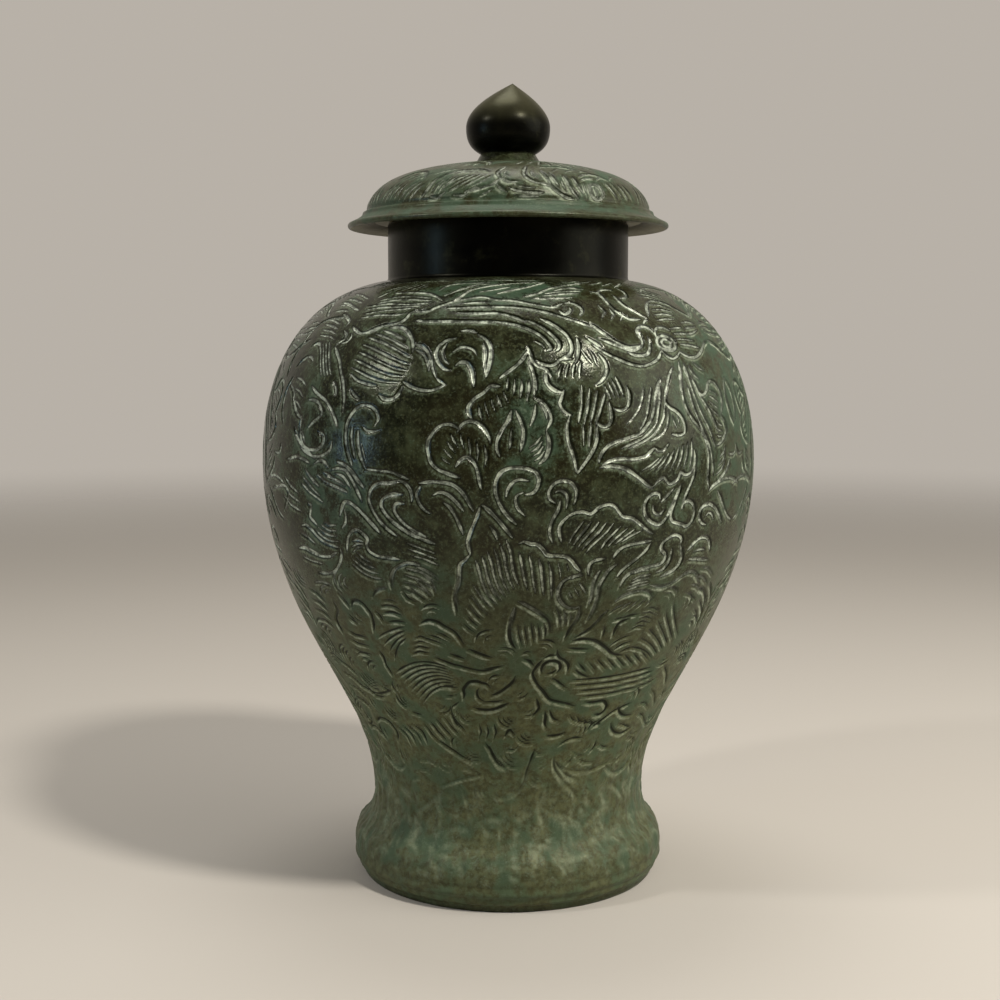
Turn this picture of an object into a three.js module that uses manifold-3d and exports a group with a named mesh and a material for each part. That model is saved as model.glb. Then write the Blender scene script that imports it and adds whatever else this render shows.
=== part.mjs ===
// A lidded bronze ginger jar, in millimetres, +Z up, standing on z = 0 about the Z axis.
// The jar is a cast baluster shell with a collar let into its shoulder and a plate let into its foot.
// The lid is a domed shell with a seat ring inside its mouth and a bud knob held by a stud, washer and nut.
import * as THREE from "three";
import { mergeVertices } from "three/addons/utils/BufferGeometryUtils.js";
import Module from "manifold-3d";

// Cast shell, from the waist down
const WAIST_RADIUS = 52.9;
const BODY_WALL = 3.2;
const LEDGE_WIDTH = 3.3; // step inside the foot that the floor plate is let into
const RIM_WIDTH = 4.4; // plain rim that the jar stands on
const RIM_HEIGHT = 2.4;
const FOOT_SWELL = 3.2; // the foot's widest ring stands out this much from the rim
const FOOT_SWELL_HEIGHT = 8.6; // rim to widest ring
const FOOT_TURN_OUT = 3.5; // where the foot's crown turns into the cove, out from the waist
const FOOT_CROWN_HEIGHT = 10.5; // widest ring to that turn
const FOOT_CROWN_RISE = 6; // curve handle above the widest ring
const COVE_HEIGHT = 11.5; // turn to waist
const COVE_DROP = 5; // curve handle below the waist
const TURN_HANDLE = 3.2; // curve handles each side of the turn
const TURN_SLOPE = THREE.MathUtils.degToRad(45);

// Cast shell, from the waist up
const FLANK_HEIGHT = 129; // waist to belly
const WAIST_RISE = 39; // curve handle above the waist
const BELLY_RADIUS = 94.8;
const BELLY_DROP = 61; // curve handle below the belly
const BELLY_RISE = 31; // curve handle above the belly
const SHOULDER_HEIGHT = 68; // belly to the flat seat that carries the collar
const SHOULDER_RUN = 34; // curve handle along the shoulder's slope
const SHOULDER_SLOPE = THREE.MathUtils.degToRad(10);
const SEAT_MARGIN = 0.7; // the flat seat reaches this far past the collar

// Collar that makes the neck
const NECK_RADIUS = 46.2;
const NECK_WALL = 2.8;
const NECK_HEIGHT = 22.2; // above the shoulder seat
const NECK_LIP = 0.8; // bevel of the neck's mouth
const NECK_COVE = 1.5; // cove at the foot of the neck
const SPIGOT_STEP = 1.2; // the spigot is this much smaller than the neck
const SPIGOT_DEPTH = 5.5;
const SPIGOT_CLEARANCE = 0.2;

// Floor plate
const FLOOR_RECESS = 6.2; // underside of the plate above the ground
const FLOOR_THICKNESS = 2.8;
const FLOOR_CLEARANCE = 0.2;

// Lid shell, measured from the plane of its seat
const LID_REST_GAP = 0.3; // between the neck's mouth and the seat ring
const LID_WALL = 2.6;
const DOME_OVERHANG = 8.4; // the dome's foot stands out this much from the neck
const DOME_FOOT_HEIGHT = 4.2; // where the dome meets the brim
const DOME_RISE = 18.4; // from there to the boss
const DOME_FOOT_RISE = 14.4; // curve handle up the dome's side
const DOME_FOOT_LEAN = THREE.MathUtils.degToRad(76);
const DOME_TOP_RUN = 20.4; // curve handle across the dome's top
const DOME_TOP_SLOPE = THREE.MathUtils.degToRad(7.4);
const BRIM_WIDTH = 6.9;
const BRIM_THICKNESS = 2.2;
const BRIM_DROP = 1.5; // the brim's edge lies this much below the seat
const MOUTH_WALL = 3.2; // metal around the seat ring, at the dome's foot
const BOSS_RADIUS = 10.5;
const BOSS_RISE = 3.3; // above the dome
const BOSS_FLARE = 2; // the boss spreads this much where it meets the dome
const BOSS_PAD = 0.3; // flat pad inside the dome for the washer

// Seat ring of the lid
const RING_CLEARANCE = 0.2;
const RING_PLATE = 2.2;
const RING_DEPTH = 11.5; // how far its skirt drops into the neck
const RING_WALL = 2.4;
const RING_PLAY = 0.9; // between the skirt and the inside of the neck

// Bud knob and its fixing, measured from the top of the boss
const KNOB_SEAT_STEP = 0.4; // the knob's seat is this much smaller than the boss
const KNOB_SWELL = 6; // the widest ring stands out this much from the seat
const KNOB_CHIN_HEIGHT = 10; // seat to widest ring
const KNOB_CHIN_RUN = 5; // curve handle where the knob leaves its seat
const KNOB_CHIN_SLOPE = THREE.MathUtils.degToRad(27);
const KNOB_CHEEK_DROP = 5; // curve handle below the widest ring
const KNOB_CHEEK_RISE = 7.4; // curve handle above the widest ring
const KNOB_CROWN_HEIGHT = 16.8; // widest ring to tip
const KNOB_TIP_RUN = 6.6; // curve handle at the tip
const KNOB_TIP_SLOPE = THREE.MathUtils.degToRad(32);
const STUD_RADIUS = 3;
const STUD_CLEARANCE = 0.15;
const STUD_ENGAGEMENT = 13; // length inside the knob
const STUD_TAIL = 1.1; // length past the nut
const WASHER_RADIUS = 8;
const WASHER_THICKNESS = 1.2;
const NUT_ACROSS_FLATS = 10;
const NUT_HEIGHT = 4;

// Chased ornament: the main leaves and curls, each line cut with a pointed chisel
const CHASING_REPEATS = 3;
const CHISEL_WIDTH = 4; // at the start of the cut
const CHISEL_DEPTH = 1.2;
const CHISEL_CLEARANCE = 0.4; // the cut starts this far outside the surface
const STEPS_PER_POINT = 2;

// Lines on one third of the body, as degrees round from the front and per cent of the way from waist to seat
const BODY_LINES = [
  [[-34.4, 62], [-36.6, 66.5], [-33.8, 70.5], [-28.8, 69.5], [-29, 68]], // tall hook
  [[-31, 83.5], [-25, 83], [-22.6, 79]], // broad leaf
  [[-12.5, 81.5], [-16.8, 79], [-13, 76]], // hook
  [[7.8, 85], [13.5, 82], [14.3, 79.5], [12, 78]], // bud
  [[12.4, 69], [11.8, 65.5], [13.7, 61]], // pointed leaf
  [[18.2, 68], [16.6, 63.5], [13.9, 61.5]],
  [[-10.5, 67.5], [-15, 67], [-16.6, 63.5], [-10, 60.5]], // scalloped leaf
  [[-24, 51.5], [-30.1, 57], [-27, 59.5], [-21.1, 59], [-20.2, 56.5]], // nested curls
  [[1.4, 53.5], [-2.8, 58.5], [0.3, 62], [5.6, 60.5], [3.2, 58]], // round curl
  [[10.8, 51], [13, 55], [20.5, 56.5], [26.4, 54], [31.8, 51.5]], // wavy leaf
  [[-6, 56], [-8.6, 51], [-10.7, 46], [-11.8, 39.5]], // lotus
  [[-5.5, 56.5], [0.6, 51.5], [8, 49], [15.3, 46]],
  [[8.4, 30.5], [6.3, 28], [10.8, 23.5], [20, 21]], // stem
  [[35.2, 75], [32.2, 70.5], [26, 66], [18.4, 62.5]], // ribbon petals
  [[42.4, 76.5], [41.9, 69.5], [47.5, 63], [48, 57.5]],
  [[38.2, 79.5], [31, 77], [19.6, 80.5]], // sweep below the flower
  [[-24, 88], [-14, 89.5], [-1, 90], [12.5, 88]], // shoulder sweep
  [[40.2, 49.5], [36.7, 50.5], [36, 48], [25.2, 43]], // crescent
  [[-37.5, 48.5], [-35, 51.5], [-31.5, 49], [-24, 47.5]], // left scroll
  [[-40.3, 39], [-38.3, 40], [-34.6, 37.5], [-35.4, 35]], // ragged leaf
  [[-54, 67], [-49, 64], [-43.4, 64.5], [-44.8, 66.5]], // side leaf
  [[9, 12.5], [6.6, 8], [-0.4, 4]], // worn leaves of the lower flank
  [[-27.8, 15.5], [-20, 13.5], [-16, 16.5]],
  [[22, 23], [31, 21.5], [27.6, 19.5]],
];

// Lines on one third of the dome, as degrees round and per cent of the way from brim to boss
const DOME_LINES = [
  [[-35, 4], [-31.4, 19], [-21, 30], [-8, 27]], // broad leaf
  [[-1.5, 35], [-4.8, 24], [0, 14.5], [3.5, 14.5]], // two open curls
  [[8, 36], [6.5, 21], [13, 12.5]],
  [[31, 22], [38, 27], [47, 21]],
  [[-52, 38], [-38, 64], [-18, 66], [-10, 42]], // leaves round the knob
  [[4, 44], [18, 68], [38, 66], [47, 38]],
];

// Facets
const LARGE_SEGMENTS = 48;
const SMALL_SEGMENTS = 24;
const LONG_STEPS = 13;
const LINING_STEPS = 8;
const SHORT_STEPS = 5;

// Places that follow from the sizes above
const LINING_FOOT_RADIUS = WAIST_RADIUS - BODY_WALL;
const FOOT_BORE = LINING_FOOT_RADIUS + LEDGE_WIDTH;
const RIM_RADIUS = FOOT_BORE + RIM_WIDTH;
const FLOOR_TOP = FLOOR_RECESS + FLOOR_THICKNESS;
const FOOT_WIDEST_Z = RIM_HEIGHT + FOOT_SWELL_HEIGHT;
const WAIST_Z = FOOT_WIDEST_Z + FOOT_CROWN_HEIGHT + COVE_HEIGHT;
const BELLY_Z = WAIST_Z + FLANK_HEIGHT;
const SEAT_Z = BELLY_Z + SHOULDER_HEIGHT;
const SEAT_RADIUS = NECK_RADIUS + NECK_COVE + SEAT_MARGIN;
const NECK_BORE = NECK_RADIUS - NECK_WALL;
const SPIGOT_RADIUS = NECK_RADIUS - SPIGOT_STEP;
const SHOULDER_BORE = SPIGOT_RADIUS + SPIGOT_CLEARANCE;
const LID_Z = SEAT_Z + NECK_HEIGHT + LID_REST_GAP;
const DOME_RADIUS = NECK_RADIUS + DOME_OVERHANG;
const DOME_TOP_Z = DOME_FOOT_HEIGHT + DOME_RISE;
const MOUTH_RADIUS = DOME_RADIUS - MOUTH_WALL;
const BOSS_TOP_Z = DOME_TOP_Z + BOSS_RISE;
const BOSS_THICKNESS = BOSS_RISE + LID_WALL + BOSS_PAD;
const KNOB_SEAT_RADIUS = BOSS_RADIUS - KNOB_SEAT_STEP;
const STUD_BORE = STUD_RADIUS + STUD_CLEARANCE;

const finish = (color, roughness, metalness) =>
  new THREE.MeshStandardMaterial({ color, roughness, metalness });
const CHASED_BRONZE = finish(0x3c4632, 0.5, 0.6);
const DARK_BRONZE = finish(0x1c1812, 0.3, 0.8);
const RAW_BRONZE = finish(0x5a4a30, 0.6, 0.8);
const FIXING_BRASS = finish(0x8a7440, 0.4, 0.9);

const at = (radius, height) => new THREE.Vector2(radius, height);
const heading = (angle) => at(Math.cos(angle), Math.sin(angle));
const UP = Math.PI / 2;

// A cubic curve that leaves its start and reaches its end along given headings
function sweep(start, startAngle, startHandle, end, endAngle, endHandle) {
  return new THREE.CubicBezierCurve(
    start,
    start.clone().addScaledVector(heading(startAngle), startHandle),
    end.clone().addScaledVector(heading(endAngle), -endHandle),
    end,
  );
}

// Points of a curve moved to its left, which is inwards on an outline that runs upwards
function inset(curve, wall, steps) {
  return curve.getPoints(steps).map((point, i) => {
    const along = curve.getTangent(i / steps);
    return at(point.x - along.y * wall, point.y + along.x * wall);
  });
}

function roundEdge(centre, radius, fromAngle, toAngle, clockwise) {
  const arc = new THREE.EllipseCurve(centre.x, centre.y, radius, radius, fromAngle, toAngle, clockwise);
  return arc.getPoints(SHORT_STEPS);
}

const closed = (outline) => [...outline, outline[0].clone()];

// A solid of revolution about Z from an outline that runs up its outside and down its inside
function turned(name, outline, material, segments) {
  const geometry = new THREE.LatheGeometry(outline, segments).rotateX(Math.PI / 2);
  const mesh = new THREE.Mesh(geometry, material);
  mesh.name = name;
  return mesh;
}

const wasm = await Module();
wasm.setup();

// A closed mesh as a solid that can be cut
function solidOf(geometry) {
  const bare = geometry.clone().deleteAttribute("normal").deleteAttribute("uv");
  const merged = mergeVertices(bare);
  const vertProperties = merged.getAttribute("position").array;
  const triVerts = new Uint32Array(merged.getIndex().array);
  return new wasm.Manifold(new wasm.Mesh({ numProp: 3, vertProperties, triVerts }));
}

function geometryOf(solid) {
  const { vertProperties, triVerts } = solid.getMesh();
  const geometry = new THREE.BufferGeometry();
  geometry.setAttribute("position", new THREE.BufferAttribute(vertProperties, 3));
  geometry.setIndex(new THREE.BufferAttribute(triVerts, 1));
  geometry.computeVertexNormals();
  return geometry;
}

// A point of an outline turned to an angle from the front of the jar
const spun = (point, angle) =>
  new THREE.Vector3(point.x * Math.sin(angle), -point.x * Math.cos(angle), point.y);

// One chisel cut: a three-sided prism along a line on a turned surface, run out at both ends
function chiselCut(surface, line) {
  const drawn = new THREE.SplineCurve(line.map(([turn, rise]) => at(turn, rise)));
  const places = drawn.getPoints((line.length - 1) * STEPS_PER_POINT).map(({ x: turn, y: rise }) => {
    const angle = THREE.MathUtils.degToRad(turn);
    const share = rise / 100;
    const along = surface.getTangent(share);
    return { point: spun(surface.getPoint(share), angle), outward: spun(at(along.y, -along.x), angle) };
  });
  const last = places.length - 1;
  const corners = places.flatMap(({ point, outward }, i) => {
    const ahead = places[Math.min(i + 1, last)].point;
    const behind = places[Math.max(i - 1, 0)].point;
    const side = ahead.clone().sub(behind).cross(outward).setLength(CHISEL_WIDTH / 2);
    const top = point.clone().addScaledVector(outward, CHISEL_CLEARANCE);
    const depth = i === 0 || i === last ? 0 : CHISEL_DEPTH;
    return [top.clone().sub(side), top.add(side), point.clone().addScaledVector(outward, -depth)];
  });
  const faces = [[0, 2, 1], [3 * last, 3 * last + 1, 3 * last + 2]];
  for (let i = 0; i < last; i += 1) {
    for (let corner = 0; corner < 3; corner += 1) {
      const [a, b] = [3 * i + corner, 3 * i + ((corner + 1) % 3)];
      faces.push([a, b, b + 3], [a, b + 3, a + 3]);
    }
  }
  const geometry = new THREE.BufferGeometry().setFromPoints(corners);
  geometry.setIndex(faces.flat());
  return geometry;
}

// Cuts a set of lines all round a turned mesh, with every second repeat turned over
function chase(mesh, surface, lines) {
  let solid = solidOf(mesh.geometry);
  for (let repeat = 0; repeat < CHASING_REPEATS; repeat += 1) {
    const start = (repeat * 360) / CHASING_REPEATS;
    const side = repeat % 2 === 0 ? 1 : -1;
    for (const line of lines) {
      const turned = line.map(([turn, rise]) => [start + side * turn, rise]);
      solid = solid.subtract(solidOf(chiselCut(surface, turned)));
    }
  }
  mesh.geometry = geometryOf(solid);
  return mesh;
}

// The cast shell: standing rim, swelling foot, waist, belly and shoulder, hollow inside
function jarBody() {
  const rimTop = at(RIM_RADIUS, RIM_HEIGHT);
  const widest = at(RIM_RADIUS + FOOT_SWELL, FOOT_WIDEST_Z);
  const turn = at(WAIST_RADIUS + FOOT_TURN_OUT, FOOT_WIDEST_Z + FOOT_CROWN_HEIGHT);
  const turnAngle = Math.PI - TURN_SLOPE;
  const waist = at(WAIST_RADIUS, WAIST_Z);
  const belly = at(BELLY_RADIUS, BELLY_Z);
  const seatEdge = at(SEAT_RADIUS, SEAT_Z);
  const swell = sweep(rimTop, UP / 2, FOOT_SWELL / 2, widest, UP, FOOT_SWELL_HEIGHT / 2);
  const crown = sweep(widest, UP, FOOT_CROWN_RISE, turn, turnAngle, TURN_HANDLE);
  const cove = sweep(turn, turnAngle, TURN_HANDLE, waist, UP, COVE_DROP);
  const flank = sweep(waist, UP, WAIST_RISE, belly, UP, BELLY_DROP);
  const shoulder = sweep(belly, UP, BELLY_RISE, seatEdge, Math.PI - SHOULDER_SLOPE, SHOULDER_RUN);
  const lining = [
    ...inset(flank, BODY_WALL, LINING_STEPS),
    ...inset(shoulder, BODY_WALL, LINING_STEPS).slice(1, -1),
  ];
  const outline = [
    at(RIM_RADIUS, 0),
    ...swell.getPoints(SHORT_STEPS),
    ...crown.getPoints(SHORT_STEPS).slice(1),
    ...cove.getPoints(SHORT_STEPS).slice(1),
    ...flank.getPoints(LONG_STEPS).slice(1),
    ...shoulder.getPoints(LONG_STEPS).slice(1),
    at(SHOULDER_BORE, SEAT_Z),
    at(SHOULDER_BORE, SEAT_Z - BODY_WALL),
    ...lining.reverse(),
    at(LINING_FOOT_RADIUS, FLOOR_TOP),
    at(FOOT_BORE, FLOOR_TOP),
    at(FOOT_BORE, 0),
  ];
  const mesh = turned("jar_body", closed(outline), CHASED_BRONZE, LARGE_SEGMENTS);
  const outside = new THREE.CurvePath();
  outside.add(flank);
  outside.add(shoulder);
  return chase(mesh, outside, BODY_LINES);
}

// The plate that closes the foot, soldered up against the ledge inside it
function floorPlate() {
  const edge = FOOT_BORE - FLOOR_CLEARANCE;
  const outline = [
    at(0, FLOOR_RECESS),
    at(edge, FLOOR_RECESS),
    at(edge, FLOOR_TOP),
    at(0, FLOOR_TOP),
  ];
  return turned("floor_plate", outline, RAW_BRONZE, LARGE_SEGMENTS);
}

// The smooth collar: a spigot inside the shoulder, a cove on the seat and the open neck
function neckCollar() {
  const outline = [
    at(NECK_BORE, -SPIGOT_DEPTH),
    at(SPIGOT_RADIUS, -SPIGOT_DEPTH),
    at(SPIGOT_RADIUS, 0),
    ...roundEdge(at(NECK_RADIUS + NECK_COVE, NECK_COVE), NECK_COVE, -UP, -Math.PI, true),
    at(NECK_RADIUS, NECK_HEIGHT - NECK_LIP),
    at(NECK_RADIUS - NECK_LIP, NECK_HEIGHT),
    at(NECK_BORE + NECK_LIP, NECK_HEIGHT),
    at(NECK_BORE, NECK_HEIGHT - NECK_LIP),
  ];
  const mesh = turned("neck_collar", closed(outline), DARK_BRONZE, LARGE_SEGMENTS);
  mesh.position.z = SEAT_Z;
  return mesh;
}

// The domed lid shell with its flared brim and the boss that carries the knob
function lidShell() {
  const brimRound = BRIM_THICKNESS / 2;
  const brimCentre = at(DOME_RADIUS + BRIM_WIDTH - brimRound, -BRIM_DROP);
  const foot = at(DOME_RADIUS, DOME_FOOT_HEIGHT);
  const top = at(BOSS_RADIUS + BOSS_FLARE, DOME_TOP_Z);
  const dome = sweep(
    foot,
    Math.PI - DOME_FOOT_LEAN,
    DOME_FOOT_RISE,
    top,
    Math.PI - DOME_TOP_SLOPE,
    DOME_TOP_RUN,
  );
  const vault = inset(dome, LID_WALL, LINING_STEPS).filter((p) => p.x < MOUTH_RADIUS);
  const padZ = BOSS_TOP_Z - BOSS_THICKNESS;
  const outline = [
    at(MOUTH_RADIUS, 0),
    ...roundEdge(brimCentre, brimRound, -UP, UP, false),
    ...dome.getPoints(LONG_STEPS),
    at(BOSS_RADIUS, BOSS_TOP_Z),
    at(STUD_BORE, BOSS_TOP_Z),
    at(STUD_BORE, padZ),
    at(BOSS_RADIUS, padZ),
    ...vault.reverse(),
    at(MOUTH_RADIUS, vault.at(-1).y),
  ];
  const mesh = turned("lid_shell", closed(outline), CHASED_BRONZE, LARGE_SEGMENTS);
  const outside = new THREE.CurvePath();
  outside.add(dome);
  return chase(mesh, outside, DOME_LINES);
}

// The ring inside the lid's mouth: its plate rests on the neck and its skirt drops into it
function lidSeatRing() {
  const skirt = NECK_BORE - RING_PLAY;
  const plate = MOUTH_RADIUS - RING_CLEARANCE;
  const outline = [
    at(skirt - RING_WALL, -RING_DEPTH),
    at(skirt, -RING_DEPTH),
    at(skirt, 0),
    at(plate, 0),
    at(plate, RING_PLATE),
    at(skirt - RING_WALL, RING_PLATE),
  ];
  return turned("lid_seat_ring", closed(outline), RAW_BRONZE, LARGE_SEGMENTS);
}

// The bud knob, bored from below for its stud
function knob() {
  const seat = at(KNOB_SEAT_RADIUS, 0);
  const cheek = at(KNOB_SEAT_RADIUS + KNOB_SWELL, KNOB_CHIN_HEIGHT);
  const tip = at(0, KNOB_CHIN_HEIGHT + KNOB_CROWN_HEIGHT);
  const chin = sweep(seat, KNOB_CHIN_SLOPE, KNOB_CHIN_RUN, cheek, UP, KNOB_CHEEK_DROP);
  const crown = sweep(cheek, UP, KNOB_CHEEK_RISE, tip, Math.PI - KNOB_TIP_SLOPE, KNOB_TIP_RUN);
  const boreTop = STUD_ENGAGEMENT + STUD_CLEARANCE;
  const outline = [
    at(0, boreTop),
    at(STUD_BORE, boreTop),
    at(STUD_BORE, 0),
    ...chin.getPoints(LINING_STEPS),
    ...crown.getPoints(LINING_STEPS).slice(1),
  ];
  return turned("knob", outline, DARK_BRONZE, SMALL_SEGMENTS);
}

// The threaded stud, plain here, from inside the knob to just past the nut
function knobStud() {
  const tail = -(BOSS_THICKNESS + WASHER_THICKNESS + NUT_HEIGHT + STUD_TAIL);
  const outline = [
    at(0, tail),
    at(STUD_RADIUS, tail),
    at(STUD_RADIUS, STUD_ENGAGEMENT),
    at(0, STUD_ENGAGEMENT),
  ];
  return turned("knob_stud", outline, FIXING_BRASS, SMALL_SEGMENTS);
}

// The washer against the pad inside the dome
function knobWasher() {
  const outline = [
    at(STUD_BORE, -WASHER_THICKNESS),
    at(WASHER_RADIUS, -WASHER_THICKNESS),
    at(WASHER_RADIUS, 0),
    at(STUD_BORE, 0),
  ];
  const mesh = turned("knob_washer", closed(outline), FIXING_BRASS, SMALL_SEGMENTS);
  mesh.position.z = -BOSS_THICKNESS;
  return mesh;
}

// The hexagon nut under the washer
function knobNut() {
  const sides = 6;
  const corner = NUT_ACROSS_FLATS / 2 / Math.cos(Math.PI / sides);
  const corners = Array.from({ length: sides }, (_, i) =>
    heading((i * 2 * Math.PI) / sides).multiplyScalar(corner),
  );
  const hexagon = new THREE.Shape(corners);
  hexagon.holes.push(new THREE.Path().absarc(0, 0, STUD_BORE, 0, 2 * Math.PI, true));
  const geometry = new THREE.ExtrudeGeometry(hexagon, {
    depth: NUT_HEIGHT,
    bevelEnabled: false,
    curveSegments: SMALL_SEGMENTS / 2,
  });
  const mesh = new THREE.Mesh(geometry, FIXING_BRASS);
  mesh.name = "knob_nut";
  mesh.position.z = -(BOSS_THICKNESS + WASHER_THICKNESS + NUT_HEIGHT);
  return mesh;
}

const finial = new THREE.Group();
finial.position.z = BOSS_TOP_Z;
finial.add(knob(), knobStud(), knobWasher(), knobNut());

const lid = new THREE.Group();
lid.position.z = LID_Z;
lid.add(lidShell(), lidSeatRing(), finial);

const jar = new THREE.Group();
jar.add(jarBody(), floorPlate(), neckCollar(), lid);

export default jar;
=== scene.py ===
"""Bronze ginger jar: a chased body on a foot, a plain neck and a domed lid with a bud knob."""
import logging
import math
from dataclasses import dataclass, field
from enum import Enum
from functools import partial
from typing import Any

import bpy
import numpy as np
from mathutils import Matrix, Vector


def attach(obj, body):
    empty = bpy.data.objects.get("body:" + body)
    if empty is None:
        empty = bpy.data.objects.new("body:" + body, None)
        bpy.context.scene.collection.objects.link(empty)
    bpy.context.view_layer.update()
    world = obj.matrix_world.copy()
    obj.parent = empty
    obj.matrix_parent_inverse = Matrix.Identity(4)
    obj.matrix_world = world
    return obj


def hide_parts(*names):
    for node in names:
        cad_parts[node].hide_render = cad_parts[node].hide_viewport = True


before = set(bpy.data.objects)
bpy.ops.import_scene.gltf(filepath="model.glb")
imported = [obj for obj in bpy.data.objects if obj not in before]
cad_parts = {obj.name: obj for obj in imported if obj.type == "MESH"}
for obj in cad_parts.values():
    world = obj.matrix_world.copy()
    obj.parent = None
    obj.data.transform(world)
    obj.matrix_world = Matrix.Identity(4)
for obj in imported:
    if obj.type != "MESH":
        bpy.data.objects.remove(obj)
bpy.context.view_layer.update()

LOG = logging.getLogger("ginger_jar")
MM = 0.001
VEIN_POINTS = 5
RING_POINTS = 17
BLUR_PASSES = 3
SMOOTH_ANGLE = math.radians(30.0)
Colour = tuple[float, float, float, float]
Point = tuple[float, float]
Stops = tuple[tuple[float, float], ...]


class Body(Enum):
    """Bodies of the frame that pieces ride on."""

    JAR = "jar"
    LID = "lid"


class Slot(Enum):
    """Finishes named in the record."""

    CHASED = "chased_bronze"
    DARK = "dark_bronze"
    RAW = "raw_bronze"
    BRASS = "fixing_brass"


class Chisel(Enum):
    """Tools for outlines, plain lines, veins and worn lines: half the width and depth of cut in mm."""

    EDGE = (1.04, 0.90)
    LINE = (0.88, 0.74)
    VEIN = (0.68, 0.54)
    WORN = (1.25, 0.80)

    @property
    def half_width(self) -> float:
        """Half the width of the cut."""
        return self.value[0]

    @property
    def depth(self) -> float:
        """Depth at the middle of the cut."""
        return self.value[1]


class Value:
    """A shader socket whose numbers take part in Python expressions."""

    def __init__(self, shader: "Shader", socket: bpy.types.NodeSocket) -> None:
        """Holds an output socket and the shader that it belongs to."""
        self.shader = shader
        self.socket = socket

    def _math(self, operation: str, first: "Value | float", second: "Value | float") -> "Value":
        """Adds a Math node for two numbers and returns its result."""
        return self.shader.node("ShaderNodeMath", {"operation": operation}, {0: first, 1: second})

    def __add__(self, other: "Value | float") -> "Value":
        """Sum."""
        return self._math("ADD", self, other)

    def __radd__(self, other: float) -> "Value":
        """Sum with a number first."""
        return self._math("ADD", other, self)

    def __rsub__(self, other: float) -> "Value":
        """Difference from a number."""
        return self._math("SUBTRACT", other, self)

    def __mul__(self, other: "Value | float") -> "Value":
        """Product."""
        return self._math("MULTIPLY", self, other)

    def __rmul__(self, other: float) -> "Value":
        """Product with a number first."""
        return self._math("MULTIPLY", other, self)

    def between(self, low: float, high: float) -> "Value":
        """Runs smoothly from 0 at low to 1 at high."""
        return self.shader.node(
            "ShaderNodeMapRange",
            {"interpolation_type": "SMOOTHSTEP"},
            {"Value": self, "From Min": low, "From Max": high},
        )


class Shader:
    """A material or a world whose nodes are added one by one."""

    def __init__(self, owner: bpy.types.Material | bpy.types.World) -> None:
        """Clears the nodes of a new material or world.

        Args:
            owner: the material or world.
        """
        self.owner = owner
        self.owner.use_nodes = True
        self.tree = self.owner.node_tree
        self.tree.nodes.clear()

    def node(
        self,
        kind: str,
        settings: dict[str, Any] | None = None,
        inputs: dict[str | int, Any] | None = None,
        output: str | int = 0,
    ) -> Value:
        """Adds a node.

        Args:
            kind: the node's type.
            settings: attributes of the node, set first.
            inputs: numbers, colours or sockets for its inputs, by name or place.
            output: the output that is returned.

        Returns:
            The chosen output.
        """
        made = self.tree.nodes.new(kind)
        for key, value in (settings or {}).items():
            setattr(made, key, value)
        for key, value in (inputs or {}).items():
            if isinstance(value, Value):
                self.tree.links.new(value.socket, made.inputs[key])
            else:
                made.inputs[key].default_value = value
        return Value(self, made.outputs[output])

    def place(self) -> Value:
        """Object coordinates in metres."""
        return self.node("ShaderNodeTexCoord", output="Object")

    def attribute(self, name: str) -> Value:
        """A number painted on the mesh."""
        return self.node("ShaderNodeAttribute", {"attribute_name": name}, output="Fac")

    def noise(self, scale: float, detail: float = 3.0, roughness: float = 0.55) -> Value:
        """Soft noise in space, with a scale in waves per metre."""
        inputs = {"Vector": self.place(), "Scale": scale, "Detail": detail, "Roughness": roughness}
        return self.node("ShaderNodeTexNoise", {"noise_dimensions": "3D"}, inputs)

    def mix(self, factor: Value | float, first: Value | Colour, second: Value | Colour) -> Value:
        """A colour between two others."""
        return self.node("ShaderNodeMix", {"data_type": "RGBA"}, {0: factor, 6: first, 7: second}, 2)

    def bump(self, height: Value, strength: float, distance: float) -> Value:
        """A normal that is tilted by a height."""
        inputs = {"Height": height, "Strength": strength, "Distance": distance}
        return self.node("ShaderNodeBump", None, inputs)

    def surface(self, inputs: dict[str | int, Any]) -> bpy.types.Material:
        """Ends the material with a surface of metal or crust that has these inputs."""
        return self.end(self.node("ShaderNodeBsdfPrincipled", None, inputs))

    def end(self, surface: Value, kind: str = "ShaderNodeOutputMaterial") -> Any:
        """Joins a surface to the output.

        Args:
            surface: the surface.
            kind: the output node's type.

        Returns:
            The finished material or world.
        """
        output = self.tree.nodes.new(kind)
        self.tree.links.new(surface.socket, output.inputs["Surface"])
        return self.owner


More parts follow.
